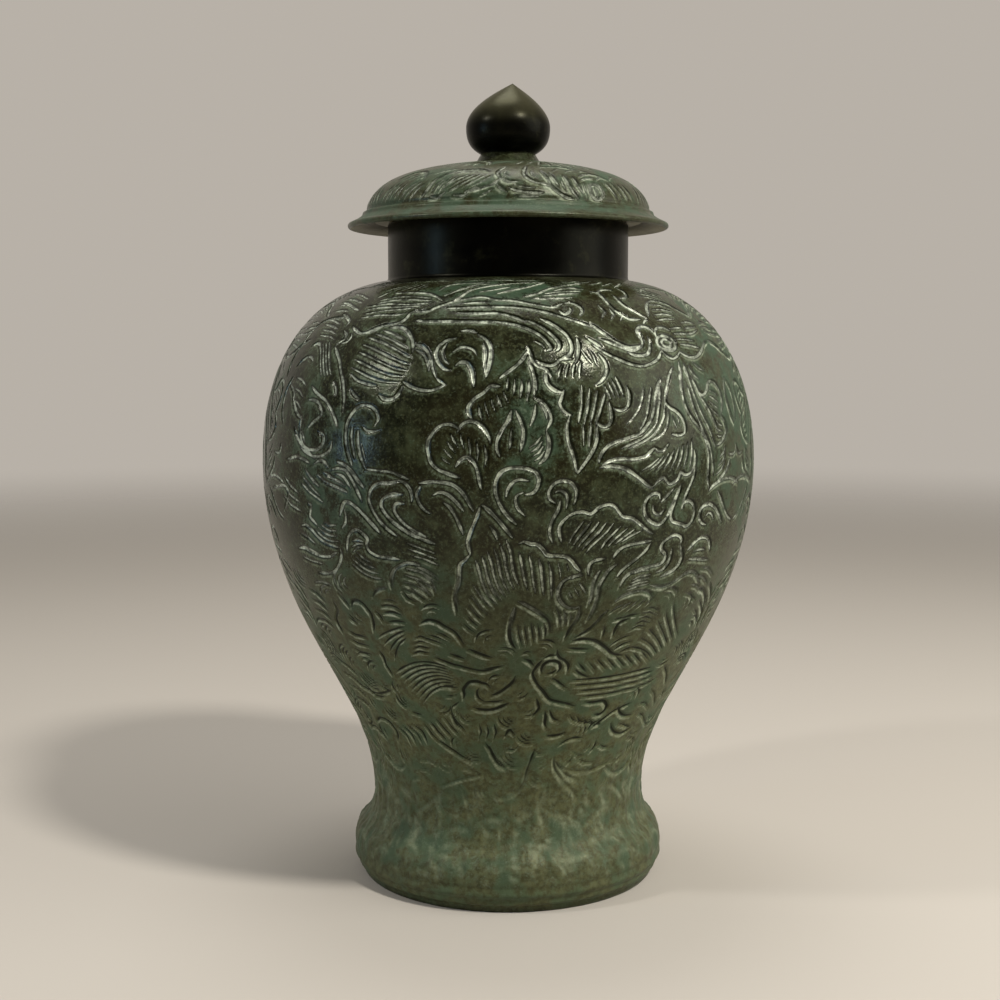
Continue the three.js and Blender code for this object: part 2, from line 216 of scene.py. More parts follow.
@dataclass(frozen=True)
class ChasedFinish:
    """Old bronze with green bloom, and pale verdigris left in the cuts, with painted shade on the walls of
    the cuts, painted highlights on their lips and a painted sheen where it is worn.
    """

    name: str = "chased_bronze_old"
    sheen: Colour = (0.97, 1, 0.88, 1)
    black: Colour = (0.0035, 0.0045, 0.0014, 1)
    brown: Colour = (0.0125, 0.0108, 0.0042, 1)
    olive: Colour = (0.058, 0.066, 0.031, 1)
    worn_dark: Colour = (0.064, 0.065, 0.028, 1)
    worn_pale: Colour = (0.12, 0.13, 0.06, 1)
    worn_green: Colour = (0.058, 0.108, 0.06, 1)
    green: Colour = (0.035, 0.064, 0.038, 1)
    pale: Colour = (0.105, 0.138, 0.09, 1)
    worn_and_lit_ridge: Colour = (0.23, 0.256, 0.155, 1)
    verdigris: Colour = (0.57, 0.63, 0.51, 1)

    def material(self) -> bpy.types.Material:
        """Makes the finish.

        Returns:
            The material.
        """
        s = Shader(bpy.data.materials.new(self.name))
        bloom = s.attribute("bloom")
        fill = s.attribute("fill")
        # near holds pale deposit round the cuts and a painted highlight on the lip below each.
        near = s.attribute("near")
        shade = s.attribute("shade")
        wear_and_sheen = s.attribute("worn")
        clouds = s.noise(24.0, 4.0)
        patches = s.noise(110.0, 5.0, 0.62)
        flecks = s.noise(340.0, 4.0, 0.68)
        grain = s.noise(1100.0, 3.0, 0.7)
        grit = s.noise(780.0, 3.0, 0.7)
        mottle = s.noise(440.0, 3.0, 0.6)
        ground = s.mix(clouds.between(0.40, 0.62), self.black, self.brown)
        ground = s.mix(patches.between(0.44, 0.72) * 0.7, ground, self.olive)
        ground = s.mix(grit.between(0.50, 0.66) * 0.6, ground, self.olive)
        soft = s.mix(mottle.between(0.34, 0.66), self.worn_dark, self.worn_pale)
        soft = s.mix(patches.between(0.44, 0.62) * 0.6, soft, self.worn_green)
        soft = s.mix(grit.between(0.52, 0.64) * 0.4, soft, self.pale)
        # Worn colour where the worn share is high: wear, with a painted sheen on the right side and
        # painted reflection of the floor on the lower body.
        ground = s.mix(wear_and_sheen, ground, soft)
        crust = (bloom + 1.7 * patches + 0.5 * grain).between(1.45, 1.95)
        ground = s.mix(crust * (1.0 - 0.5 * wear_and_sheen), ground, self.green)
        # Pale specks, gathered partly on the painted highlight of the lips below the cuts.
        specks_and_lip_glint = (0.20 * bloom + 0.5 * near + 0.9 * flecks + 1.7 * grain).between(1.46, 2.02)
        ground = s.mix(specks_and_lip_glint * 0.8, ground, self.pale)
        spotted = flecks.between(0.38, 0.60)
        # Painted highlight: pale colour on the lip below each cut, strongest where the bronze is worn.
        worn_and_lit_ridge = near.between(0.20, 0.70) * (0.06 + 0.80 * wear_and_sheen) * (0.35 + 0.65 * spotted)
        colour = s.mix(worn_and_lit_ridge, ground, self.worn_and_lit_ridge)
        open_cut = (wear_and_sheen + 0.6 * patches).between(0.45, 0.80)
        # Painted shade: black on the walls of the cuts, less where they are worn open.
        wall_shade = fill.between(0.03, 0.30) * (0.95 - 0.90 * open_cut)
        # Black in the middle of worn-open cuts: partly dark patina, partly painted shade.
        patina_and_shade_core = fill.between(0.28, 0.66) * open_cut * 0.9
        colour = s.mix(wall_shade, colour, self.black)
        colour = s.mix(shade.between(0.20, 0.75) * (0.85 - 0.60 * open_cut), colour, self.black)
        broken = (0.18 + 0.82 * spotted) * (0.60 + 0.40 * grain.between(0.35, 0.62))
        kept = broken * (0.50 + 0.50 * patches.between(0.36, 0.56)) * s.attribute("kept")
        lodged = fill.between(0.34, 0.60) * (1.0 - open_cut)
        # Verdigris lodged in the cuts, and laid on the painted highlight of the lips where the cuts are
        # worn open.
        filled = (lodged + 0.7 * near.between(0.30, 0.80) * open_cut) * kept
        colour = s.mix(filled, colour, self.verdigris)
        colour = s.mix(patina_and_shade_core, colour, self.black)
        rough = 0.14 + 0.22 * crust + 0.12 * specks_and_lip_glint + 0.40 * wear_and_sheen + 0.10 * filled + 0.06 * grain
        height = grain * 0.45 + flecks * 0.5 + patches * 0.9
        return s.surface(
            {
                "Base Color": colour,
                "Roughness": rough,
                "Metallic": 0.12 - 0.12 * crust,
                "Specular IOR Level": 0.22,
                "Specular Tint": self.sheen,
                "Normal": s.bump(height, 0.22, 0.0006),
            }
        )


@dataclass(frozen=True)
class DarkFinish:
    """Polished bronze gone nearly black, turning lighter olive between two heights in metres and above:
    partly wear, partly a painted sheen on the top.
    """

    name: str = "dark_bronze_polished"
    sheen: Colour = (1, 1, 0.8, 1)
    black: Colour = (0.0014, 0.0014, 0.001, 1)
    brown: Colour = (0.008, 0.0074, 0.004, 1)
    olive: Colour = (0.042, 0.042, 0.02, 1)
    wear_and_sheen: Colour = (0.04, 0.0385, 0.021, 1)
    lighter_from: float = 0.4
    lighter_to: float = 0.5

    def material(self) -> bpy.types.Material:
        """Makes the finish.

        Returns:
            The material.
        """
        s = Shader(bpy.data.materials.new(self.name))
        clouds = s.noise(38.0, 4.0)
        blotch = s.noise(120.0, 4.0, 0.6)
        grain = s.noise(1400.0, 2.0)
        colour = s.mix(clouds.between(0.46, 0.72), self.black, self.brown)
        colour = s.mix(blotch.between(0.56, 0.74) * 0.4, colour, self.olive)
        height = s.node("ShaderNodeSeparateXYZ", None, {0: s.place()}, "Z")
        # Painted sheen: between these heights and above, the colour turns lighter olive and more metallic,
        # partly as wear from handling.
        reached = height.between(self.lighter_from, self.lighter_to)
        top_sheen_and_wear = reached * (0.7 + 0.3 * blotch.between(0.35, 0.60))
        colour = s.mix(top_sheen_and_wear, colour, self.wear_and_sheen)
        rough = 0.20 + 0.16 * blotch + 0.06 * grain
        return s.surface(
            {
                "Base Color": colour,
                "Roughness": rough,
                "Metallic": 0.1 + 0.3 * top_sheen_and_wear,
                "Specular IOR Level": 0.070,
                "Specular Tint": self.sheen,
                "Normal": s.bump(blotch * 0.8 + grain * 0.2, 0.12, 0.0005),
            }
        )


@dataclass(frozen=True)
class RawFinish:
    """Bare cast bronze, dull and brown, with a few green spots."""

    name: str = "raw_bronze_dull"
    brown: Colour = (0.15, 0.138, 0.084, 1)
    tan: Colour = (0.26, 0.244, 0.158, 1)
    green: Colour = (0.15, 0.205, 0.136, 1)

    def material(self) -> bpy.types.Material:
        """Makes the finish.

        Returns:
            The material.
        """
        s = Shader(bpy.data.materials.new(self.name))
        clouds = s.noise(32.0, 4.0)
        pits = s.noise(520.0, 4.0, 0.65)
        colour = s.mix(clouds.between(0.38, 0.66), self.brown, self.tan)
        colour = s.mix((pits * 0.6 + clouds * 0.5).between(0.60, 0.74) * 0.7, colour, self.green)
        return s.surface(
            {
                "Base Color": colour,
                "Roughness": 0.42 + 0.28 * pits,
                "Metallic": 0.5,
                "Normal": s.bump(pits, 0.35, 0.0005),
            }
        )


@dataclass(frozen=True)
class BrassFinish:
    """Turned brass with a brown tarnish."""

    name: str = "fixing_brass_tarnished"
    bright: Colour = (0.42, 0.29, 0.09, 1)
    brown: Colour = (0.15, 0.09, 0.03, 1)

    def material(self) -> bpy.types.Material:
        """Makes the finish.

        Returns:
            The material.
        """
        s = Shader(bpy.data.materials.new(self.name))
        clouds = s.noise(210.0, 4.0)
        grain = s.noise(2200.0, 2.0)
        colour = s.mix(clouds.between(0.40, 0.68), self.bright, self.brown)
        return s.surface(
            {
                "Base Color": colour,
                "Roughness": 0.26 + 0.24 * clouds,
                "Metallic": 0.92,
                "Normal": s.bump(grain, 0.12, 0.0003),
            }
        )


@dataclass(frozen=True)
class FloorFinish:
    """Plain pale table top that fades out with distance."""

    name: str = "studio_floor"
    tone: Colour = (0.5, 0.468, 0.424, 1)
    near: float = 0.75
    far: float = 2.2

    def material(self) -> bpy.types.Material:
        """Makes the finish.

        Returns:
            The material.
        """
        s = Shader(bpy.data.materials.new(self.name))
        away = s.node("ShaderNodeVectorMath", {"operation": "LENGTH"}, {0: s.place()}, "Value")
        floor = s.node("ShaderNodeBsdfPrincipled", None, {"Base Color": self.tone, "Roughness": 0.85})
        clear = s.node("ShaderNodeBsdfTransparent")
        fade = away.between(self.near, self.far)
        return s.end(s.node("ShaderNodeMixShader", None, {0: fade, 1: floor, 2: clear}))


Stroke = tuple[Chisel, np.ndarray]


def stroke(chisel: Chisel, *numbers: float) -> list[Stroke]:
    """One stroke, from degree, mm, degree, mm and so on along it."""
    return [(chisel, np.reshape(numbers, (-1, 2)).astype(float))]


edge = partial(stroke, Chisel.EDGE)
line = partial(stroke, Chisel.LINE)
vein = partial(stroke, Chisel.VEIN)
worn = partial(stroke, Chisel.WORN)


def fan(count: int, first: tuple[float, ...], last: tuple[float, ...]) -> list[Stroke]:
    """Veins that change evenly from one stroke to another.

    Args:
        count: the number of veins.
        first: numbers of the first vein.
        last: numbers of the last vein.

    Returns:
        The veins.
    """
    steps = np.linspace(0.0, 1.0, VEIN_POINTS)
    ends = []
    for numbers in (first, last):
        points = np.reshape(numbers, (-1, 2)).astype(float)
        places = np.linspace(0.0, 1.0, len(points))
        ends.append([np.interp(steps, places, points[:, axis]) for axis in (0, 1)])
    start, end = np.array(ends)
    shares = np.linspace(0.0, 1.0, count)
    return [(Chisel.VEIN, (start + (end - start) * share).T) for share in shares]


def ring(degree: float, height: float, across: float, up: float) -> list[Stroke]:
    """A closed round outline.

    Args:
        degree: its centre round the surface.
        height: its centre up the surface.
        across: half its width in degrees.
        up: half its height in mm.

    Returns:
        The outline.
    """
    turn = np.linspace(0.0, 2.0 * math.pi, RING_POINTS)
    points = np.stack([degree + across * np.cos(turn), height + up * np.sin(turn)], axis=1)
    return [(Chisel.EDGE, points)]


# Long lines that sweep round the shoulder.
SHOULDER_SWEEPS = (
    edge(-38.3, 223.6, -35.4, 224.9, -33.3, 227.1, -29.8, 227.8, -27.8, 229.4, -26.6, 233.4, -24.8, 233.6,
         -21.9, 233.8, -19.8, 235.9, -16.5, 238.5, -15, 239.9, -12.6, 245.4, -10.2, 247.9, -6.4, 249.6),
    edge(-43.4, 242.5, -41.7, 245.5, -40.7, 246.6),
    edge(-38, 245.3, -30.8, 245.3, -25.3, 244.3, -21.8, 242.1, -19.1, 239.4),
    vein(-41, 240.4, -36.1, 242.2, -29.4, 242.3, -22.8, 241.1),
    vein(-41.1, 238.6, -35.7, 240.2, -29.2, 240.3, -22.3, 239.5),
    vein(-44.4, 236.6, -36.8, 238.1, -29.4, 237.5, -21.9, 238.3),
    vein(-43.6, 234.9, -38, 236.1, -30.9, 236.2, -24.5, 236.6),
    vein(-42.3, 232.7, -37, 234.1, -31, 234.8, -26.4, 235.5),
    vein(-42.7, 230.7, -36.7, 232, -31.2, 231.9, -27.7, 232.9),
    edge(-16.5, 238.5, -13.2, 240.2, -8, 241.6, -3.3, 239.8, 0.8, 239.4, 5.2, 237.7, 10.1, 235.9,
         11.9, 235.6, 14.9, 237.8),
    line(-13.1, 237.8, -9, 238.3, -5.3, 238.6),
    edge(-16.7, 235.1, -7.8, 235.9, -1.6, 235.8, 4.4, 234.9, 10.3, 232.6, 14.8, 229.9, 20, 226.8,
         23.9, 223.4),
    edge(-13.5, 232.9, -7.5, 232.6, -3.1, 232.6, 0.7, 230.9, 3.9, 228.7),
    edge(-24, 229.3, -21.6, 228.8, -14.3, 228.8, -7.2, 228.5, -3, 228.5),
    edge(-52, 233, -50, 232, -48, 230.5, -46.5, 229, -46.6, 227.3),
    fan(4, (-56, 223, -51, 222.4, -48, 221), (-58, 230.5, -54, 229.6, -50, 228)),
    line(-60, 240, -55, 239, -50, 236.5, -46.6, 235),
    fan(4, (-59, 234.5, -55, 235, -51, 234.6), (-60, 246, -54, 244.6, -47, 241.5)),
)

# Leaf strokes that crowd round the foot of the neck.
NECK_SPRAY = (
    edge(-30.2, 248.6, -29.4, 249.8, -28.2, 250.8),
    edge(-22.3, 246.5, -20.6, 250.9, -16.1, 253, -6.8, 253.4),
    edge(-9.3, 248.5, -3.9, 251.1, 3.9, 253.5, 12.6, 254.1),
    edge(-3.5, 243.9, 1, 246.5, 6.3, 249.5, 12.5, 253.9),
    line(-9, 245, -4.6, 246.8, 0.6, 249.6),
    edge(4.2, 241.6, 8.5, 244, 12.8, 248, 19.7, 251.5, 26, 253),
    line(13.9, 246.2, 19.1, 248.7, 24.3, 247.5),
    line(10.6, 244, 16.7, 245.8, 22.9, 246),
    line(9.6, 242.4, 15.5, 243.7, 21.5, 244.3),
    line(6.4, 240.5, 12.8, 240.6, 18.5, 241.4),
    edge(25.9, 245.7, 28.3, 244.5, 28.7, 239.2, 29.7, 234.1, 32.6, 230.1, 36.4, 230),
    fan(4, (-44, 247.5, -40, 250, -36, 252.4), (-33, 247.4, -31, 250, -29.4, 253.4)),
    fan(4, (-19.4, 242.6, -17, 245, -15.4, 247.6), (-14, 249.4, -10, 251.4, -6.4, 251.8)),
    line(-46, 255, -38, 256.4, -30, 256.8, -22, 256.4),
    line(-20, 256.4, -10, 257, 0, 257, 10, 256.8),
    fan(5, (19, 254.5, 23, 255.2, 27, 256.4), (38, 250, 42, 252.4, 46, 255)),
    line(48, 246.5, 51, 249, 55, 250.6, 60, 251.2),
    fan(4, (44, 243.5, 48, 242.8, 52, 240.8), (47, 250, 52, 248, 57, 244.6)),
    fan(3, (-60, 251, -56, 252.5, -51, 253), (-58, 256.4, -53, 257.4, -47, 257.6)),
)

# The looped bud and the pointed leaf under it.
BUD = (
    edge(-3, 228.5, 1.3, 227.2, 4.6, 225.2, 7.4, 222.4, 8.8, 219.6, 9.5, 217.5, 8.5, 216.5),
    edge(4.2, 229.2, 7, 227, 9, 224.5, 10.5, 222, 11.5, 219.5, 11.3, 217.5, 10.5, 216.3),
    edge(7.8, 229.8, 10, 228, 12, 225.5, 13.5, 223, 14.3, 220, 14.3, 217, 13.5, 215, 12, 214),
    line(6, 220, 7.2, 219, 8, 217.6),
    edge(16, 221.5, 16, 218, 15.3, 214, 15, 212.5),
    edge(14.9, 237.8, 17.3, 238.1, 19.2, 236.3, 19.6, 233.9, 18.5, 231.6),
    edge(13.2, 233.8, 14.5, 232.1, 16.4, 233.9, 16.4, 235.3),
    edge(4.2, 218, 4.6, 215.5, 4.9, 213.5, 6, 211, 8, 209.6, 9, 207),
    edge(6, 213, 7, 211.8, 9, 211, 10.5, 212, 11.5, 213.3, 14, 213.5),
    fan(4, (11.5, 211, 10.9, 209, 10.6, 207), (16, 212.5, 15.4, 209.5, 15.2, 207)),
    edge(7.9, 209.5, 7.8, 206, 8.6, 203.5, 10, 202, 11.2, 201.6),
    edge(11.5, 202.3, 11, 200, 10.5, 197.6, 11.4, 195, 12.8, 193.8),
    edge(12.4, 193.5, 11.8, 189.5, 12, 185, 13, 180, 13.7, 174.5),
    edge(18.2, 190, 18, 185, 16.6, 180.5, 15, 177, 13.9, 174.6),
    fan(4, (15.5, 204, 15.1, 197, 14.2, 191), (20.6, 201, 19.2, 195.5, 18, 190.5)),
    fan(2, (15.3, 190.5, 15.2, 187, 15.2, 183.5), (17, 191, 16.6, 187, 16.3, 183)),
    edge(18.2, 191.5, 19.2, 190, 20.5, 190, 21.4, 191.7, 21.6, 195, 21.3, 198),
    edge(22.2, 196, 23.5, 195.2, 24.9, 195.6, 25.9, 197.4, 26.3, 200.5, 26, 203.4),
    fan(4, (20.6, 204, 21.3, 201.5, 21.8, 199), (23.5, 207, 24.3, 203.5, 24.9, 200)),
    edge(20.5, 215.5, 21.7, 212.5, 21.8, 209, 20.4, 205.8, 18.7, 204),
    fan(2, (16.5, 217, 17.5, 214, 18.6, 211.4), (18.2, 217.6, 19.2, 214.4, 19.6, 211)),
    line(18.2, 222, 20, 220, 22, 217.5),
)

# Two curls back to back under the shoulder.
HOOKED_PAIR = (
    edge(-12.5, 221.5, -14.5, 220.8, -16.3, 218.5, -16.8, 215.5, -16, 212.5, -14.5, 210, -13, 209.2),
    line(-14.5, 219.5, -15.3, 216.5, -14.8, 213.5, -13.5, 211.5),
    line(-12.8, 216, -11.5, 217.6, -10, 218, -8.3, 217, -7.3, 215),
    edge(-11.8, 211, -10.8, 212.3, -9.5, 212.2, -8.6, 210.5, -8, 208, -7.5, 203.5),
    edge(-7.4, 223, -5.5, 221, -4.4, 218, -4.2, 214, -4.6, 210, -5, 207),
    line(-5.9, 219.5, -5.4, 216, -5.4, 212, -5.3, 208.5),
    line(-11.5, 224.5, -9.5, 224.8, -7.5, 223.6),
)

# The broad veined leaf on the left of the shoulder.
LOBED_LEAF = (
    edge(-31, 226, -28.7, 226.4, -26.5, 225.6, -24.8, 223.5, -23.5, 221, -22.8, 218.5, -22.6, 216),
    edge(-22.5, 219.2, -20.5, 218.4, -18.8, 216.2, -17.7, 213, -16.9, 209.5, -16, 206.8),
    line(-22, 217, -20, 215.5, -18.5, 212.5, -17.8, 209),
    edge(-23.5, 205.2, -21.5, 203.5, -19.3, 202.4, -17, 202.2, -15, 203.2, -13.7, 204.2),
    line(-16, 206.8, -15, 205.4, -13.7, 204.2),
    edge(-36.9, 202.4, -35.5, 200.2, -33.8, 198.8),
    edge(-28.9, 200.4, -27.5, 199.1, -25.7, 199, -24.3, 200.6, -23.5, 203.6),
    fan(3, (-32.7, 225, -29, 223.2, -25, 220.5), (-36.2, 221.8, -31, 219.8, -27, 217, -22.4, 213.6)),
    fan(4, (-37.2, 219, -32, 216.8, -26, 212.8, -22.4, 211.2),
        (-38, 210, -34, 207.6, -29.5, 205.2, -24.5, 204.8)),
    line(-37.6, 207.6, -35.8, 205.6, -33, 204.3, -30, 203.5),
)

# The scrolls, leaf and long stem beside the broad leaf.
SIDE_LEAF = (
    line(-64.2, 206.2, -64.9, 211.4, -63.7, 219.6, -61.8, 227.8, -55.6, 230.9, -48.3, 231.1),
    line(-51.7, 192.1, -51.7, 187.4, -50.2, 182.2, -47.8, 179.5, -45.4, 177.4),
    line(-65.6, 165.1, -58.9, 166.6, -56.6, 163.9, -59.2, 158.1),
    edge(-43.7, 226.8, -41.6, 225, -39.8, 223.8, -38, 223.9, -36, 225.3, -34, 226.8, -31, 227.6,
         -29, 228.4, -27.5, 230.2, -26.7, 233.4),
    line(-46.2, 225, -44.6, 223.4, -44.2, 221.5, -45.3, 220, -46.2, 218.6),
    line(-44.5, 219.4, -42.9, 220, -42.1, 222, -42.6, 223.7),
    edge(-46.3, 218, -44.6, 215.4, -42.8, 212.6, -41.4, 209, -40, 205.8, -38.9, 202, -38.2, 198, -38, 194),
    fan(4, (-53.6, 219, -51.3, 216, -49.5, 211.5, -47.4, 206.6),
        (-49.8, 220.2, -48, 216.4, -46, 211, -43.9, 206.8)),
    edge(-57, 218.5, -55, 219.6, -52.8, 218.6),
    line(-60, 210, -58.5, 212.5, -56.5, 214, -54.5, 213.7, -53, 212.2),
    edge(-42.5, 205, -41.5, 202.5, -40.8, 199.8),
    edge(-50, 203, -48.2, 201, -46, 199.4, -43.8, 197.8, -42, 195.4, -40.5, 192.5, -39.1, 189.2),
    line(-50, 198, -48.3, 198, -46.4, 197.2, -45, 195.2, -44.6, 193, -45.5, 191.8, -47, 190.3,
         -48.5, 188.2),
    fan(3, (-58, 206, -55, 205, -52.5, 203), (-57, 198, -54.5, 196.6, -52.5, 194.4)),
    edge(-60, 203, -57.5, 200.5, -56, 196.5, -54, 193, -51.4, 191),
)

# The tall hook on the left of the belly.
LEFT_HOOK = (
    edge(-34.4, 176, -35.5, 179.6, -36.3, 183.6, -36.6, 187.4, -36.3, 191, -35.3, 194, -33.8, 196.2,
         -31.9, 196.8, -30, 195.9, -28.8, 194, -28.4, 192, -29, 190),
    line(-32, 189.3, -30.9, 188, -29.4, 187.9, -27.5, 188.5),
    line(-34.8, 189.4, -34.9, 185.6, -34.3, 181.4, -33.6, 178.4),
    edge(-33.2, 188, -33.1, 184, -32.6, 180.4, -31.7, 177.4, -30.8, 175),
    vein(-32.2, 184, -31.5, 180.5, -30.8, 177.5),
    line(-51, 187, -50.2, 185, -49.4, 182.6),
    edge(-56.5, 176.3, -53, 177.5, -50, 177, -47.5, 175.8),
    edge(-54, 188, -52, 183.6, -49, 181, -45.6, 180.6, -43.4, 182.6, -43.2, 185.4, -44.8, 187.2),
    line(-51, 181, -47.6, 178.7, -44, 178.5, -41, 180.6, -40.3, 184),
)

# The waving leaf that runs into the left curl.
WAVE_LEAF = (
    edge(-40, 174.2, -38, 174.8, -36.2, 174.1, -34.9, 171.8, -33.7, 169, -32.7, 166, -31.9, 163.8),
    edge(-38.5, 177, -36.4, 176, -34.4, 173.6, -33, 171, -31.4, 168.6),
    line(-39, 173, -37.1, 172.2, -35.9, 170.4, -34.8, 168.2),
    line(-42.5, 173.1, -40.3, 171.5, -38.1, 170.3, -36.2, 168.8),
    line(-44.6, 172, -42.2, 169.9, -39.8, 168.7, -37.3, 167.6, -35.8, 166.6),
    line(-49, 173.5, -47.5, 171.3, -46, 169.6, -44.3, 167.9),
    fan(2, (-50, 170.8, -48, 168.5, -46, 166.3, -44, 164.6), (-50.5, 168.4, -47.6, 165.6, -43, 162.4)),
    line(-45.8, 175.6, -44, 177, -42.3, 176.6, -41.1, 174.9),
    edge(-38.3, 158.4, -37.7, 161, -36.9, 163, -35.6, 163.3, -34, 162, -32, 159.5, -30, 156.4, -28, 153.2),
    line(-37, 161, -36.7, 158.5, -37, 156, -38, 154),
    edge(-48.5, 161.6, -47.6, 160.8, -48, 158.6, -48.3, 156.6, -47, 155, -46, 154),
    fan(3, (-58, 170, -55.5, 167, -52, 164.6), (-59, 163, -56, 160, -51.5, 158.2)),
)

# The two nested curls left of the lotus.
PAIR_OF_CURLS = (
    edge(-24, 152.5, -26, 154.6, -27.8, 157.3, -29.2, 160.4, -30.1, 163.6, -30.1, 166.4, -29.2, 169,
         -27.5, 170.5, -25, 170.8, -22.7, 171.5, -21.1, 170, -20.3, 167.5, -20.2, 164.7),
    edge(-22.4, 167.1, -24.9, 166.7, -26.8, 165.1, -27.3, 162.7, -26.4, 160.2, -25, 157.8, -23.3, 155.8,
         -21, 153.6, -18.5, 152, -15.6, 150.4),
    edge(-22, 164, -23.8, 163.7, -24.3, 161.7, -23.5, 159.2, -22, 156.8, -19.8, 154.4, -17.4, 152.8),
    edge(-16.3, 160.9, -17.6, 162.1, -18.7, 164.5, -19.1, 167.3, -18.3, 169.9),
    edge(-18.5, 171, -15.5, 171.6, -12.2, 171.1, -10.4, 169.6, -9.1, 167.2, -8.2, 164.6, -7.3, 162),
    line(-15.6, 167.1, -14.2, 168.1, -12.6, 167.5, -11.3, 165.8, -10.4, 164.2, -9.3, 162),
    edge(-13.4, 164.7, -12.1, 163, -11, 160, -10.1, 156.6, -9.5, 154),
    vein(-31, 175, -28, 174.8, -25, 174.4, -23, 173.4, -20.5, 172),
)

# The scalloped fan leaf left of the centre spray.
SCALLOPED_LEAF = (
    edge(-10.5, 189.6, -12.5, 190.8, -14.6, 189.8, -16.1, 187, -16.8, 184, -16.6, 181, -16, 178,
         -14.5, 175.7, -12.5, 174.4, -10, 173),
    edge(-10.6, 188.2, -9.8, 190.6, -8.3, 191.8, -6.6, 191.3, -5.2, 189.4, -4.2, 186.8, -3.8, 184.4),
    fan(4, (-13.8, 179.6, -13, 178.6, -12, 177.6), (-12, 187.6, -11.4, 185.6, -10.3, 183)),
    fan(4, (-10, 187.8, -9.7, 185.4, -9.2, 182.8), (-5, 184, -4.6, 180, -5, 176.6)),
    edge(-10.8, 176.7, -10, 178.8, -8.6, 179.9, -7.4, 178.6, -6.7, 176.6, -6.3, 174.4, -6, 171.6,
         -5.7, 169.4),
)

# The group of leaves in the middle of the belly.
CENTRE_SPRAY = (
    edge(-2.1, 203.7, -4, 203.7, -5.4, 201.5, -7.3, 199.4, -8.5, 196.7, -8.3, 194.2, -7.6, 192.6),
    fan(5, (-6.4, 197.2, -6.1, 194.5, -5.5, 192), (-1.3, 202, -0.8, 200, -0.2, 198)),
    edge(-2, 206.6, -0.5, 208.5, 1.5, 211, 3, 213.5, 4, 216.2),
    edge(4.3, 212.6, 5.1, 208.6, 5.4, 204.6, 5.2, 200.4),
    fan(4, (-0.3, 206.5, -0.5, 204, -0.4, 202), (4.2, 206, 4.1, 202.4, 3.6, 198.6)),
    edge(5.3, 200, 7, 198, 8.2, 195.2, 8.5, 192.2, 7.6, 189.2),
    line(6, 198, 7.3, 195.6, 7.7, 192.6),
    edge(7.5, 188.6, 8, 185.4, 7.8, 182, 7.1, 179.4, 6, 177.8),
    line(5.4, 197.4, 5, 193.6, 4.2, 190.4),
    fan(4, (6.6, 187.2, 5.4, 184.6, 3.9, 183), (7, 182, 6.2, 180, 5, 178.8)),
    edge(0.4, 195.6, -0.3, 192.2, -1.5, 189.2, -2.4, 186, -2.6, 183, -2, 180.4),
    edge(1.2, 195.7, 2.2, 192.2, 2.8, 189, 2.7, 186, 2.2, 182),
    vein(0.5, 190, 0.2, 186.4, 0.1, 182.6),
)

# The round curl and the small hook over the lotus.
CENTRE_CURLS = (
    edge(1.4, 157.6, -0.7, 161, -2, 164.5, -2.8, 168.3, -2.7, 172, -1.7, 175, 0.3, 176.4, 3.2, 176.3,
         5.2, 175, 5.9, 172.6, 5.6, 170, 4.7, 168.1, 3.2, 167.6),
    line(4, 172.1, 2.1, 172.6, 0.7, 171.7, -0.3, 169.5, -0.7, 166.8),
    line(2.8, 168.3, 1.5, 167.3, 1.2, 165.5, 1.7, 162.9, 3.2, 160.3),
    edge(9.3, 164.6, 8.2, 166, 7.9, 168, 8.4, 170, 9.6, 171.6, 11.2, 172.1, 12.8, 171, 13.6, 168.6,
         13.5, 166, 13.1, 164.1),
    line(9.2, 168.2, 10.2, 168.8, 11.3, 168, 11.8, 166, 11.6, 162.8),
    edge(10.3, 165.4, 9.9, 162.4, 8.9, 159.4, 8.3, 156.4, 8.3, 153.8, 8.9, 151.2),
)

# The waving leaf with long veins, right of the lotus tip.
WAVY_LEAF = (
    edge(10.8, 151.4, 10.3, 154, 10.3, 156.6, 11.3, 159, 13, 160.9, 15, 161.5, 16.9, 160.8, 18.6, 162.8,
         20.5, 163.7, 22, 163, 23.1, 160.9, 24.2, 159.3, 26.4, 158.5, 28.3, 156.4, 30.2, 154.2,
         31.8, 152.7),
    fan(5, (12.4, 151, 13.2, 153.7, 15.3, 158.4), (16.3, 147.4, 17.5, 150, 20, 153.2, 22, 157.4)),
    fan(4, (19.5, 148.4, 20.4, 150.8, 23.6, 156), (24.2, 150.5, 26.3, 152.4, 28.9, 154.1)),
    edge(31.5, 150.2, 29, 149.8, 26.5, 149.3, 24.5, 148.3, 23.2, 146.5, 22.6, 144.8),
)

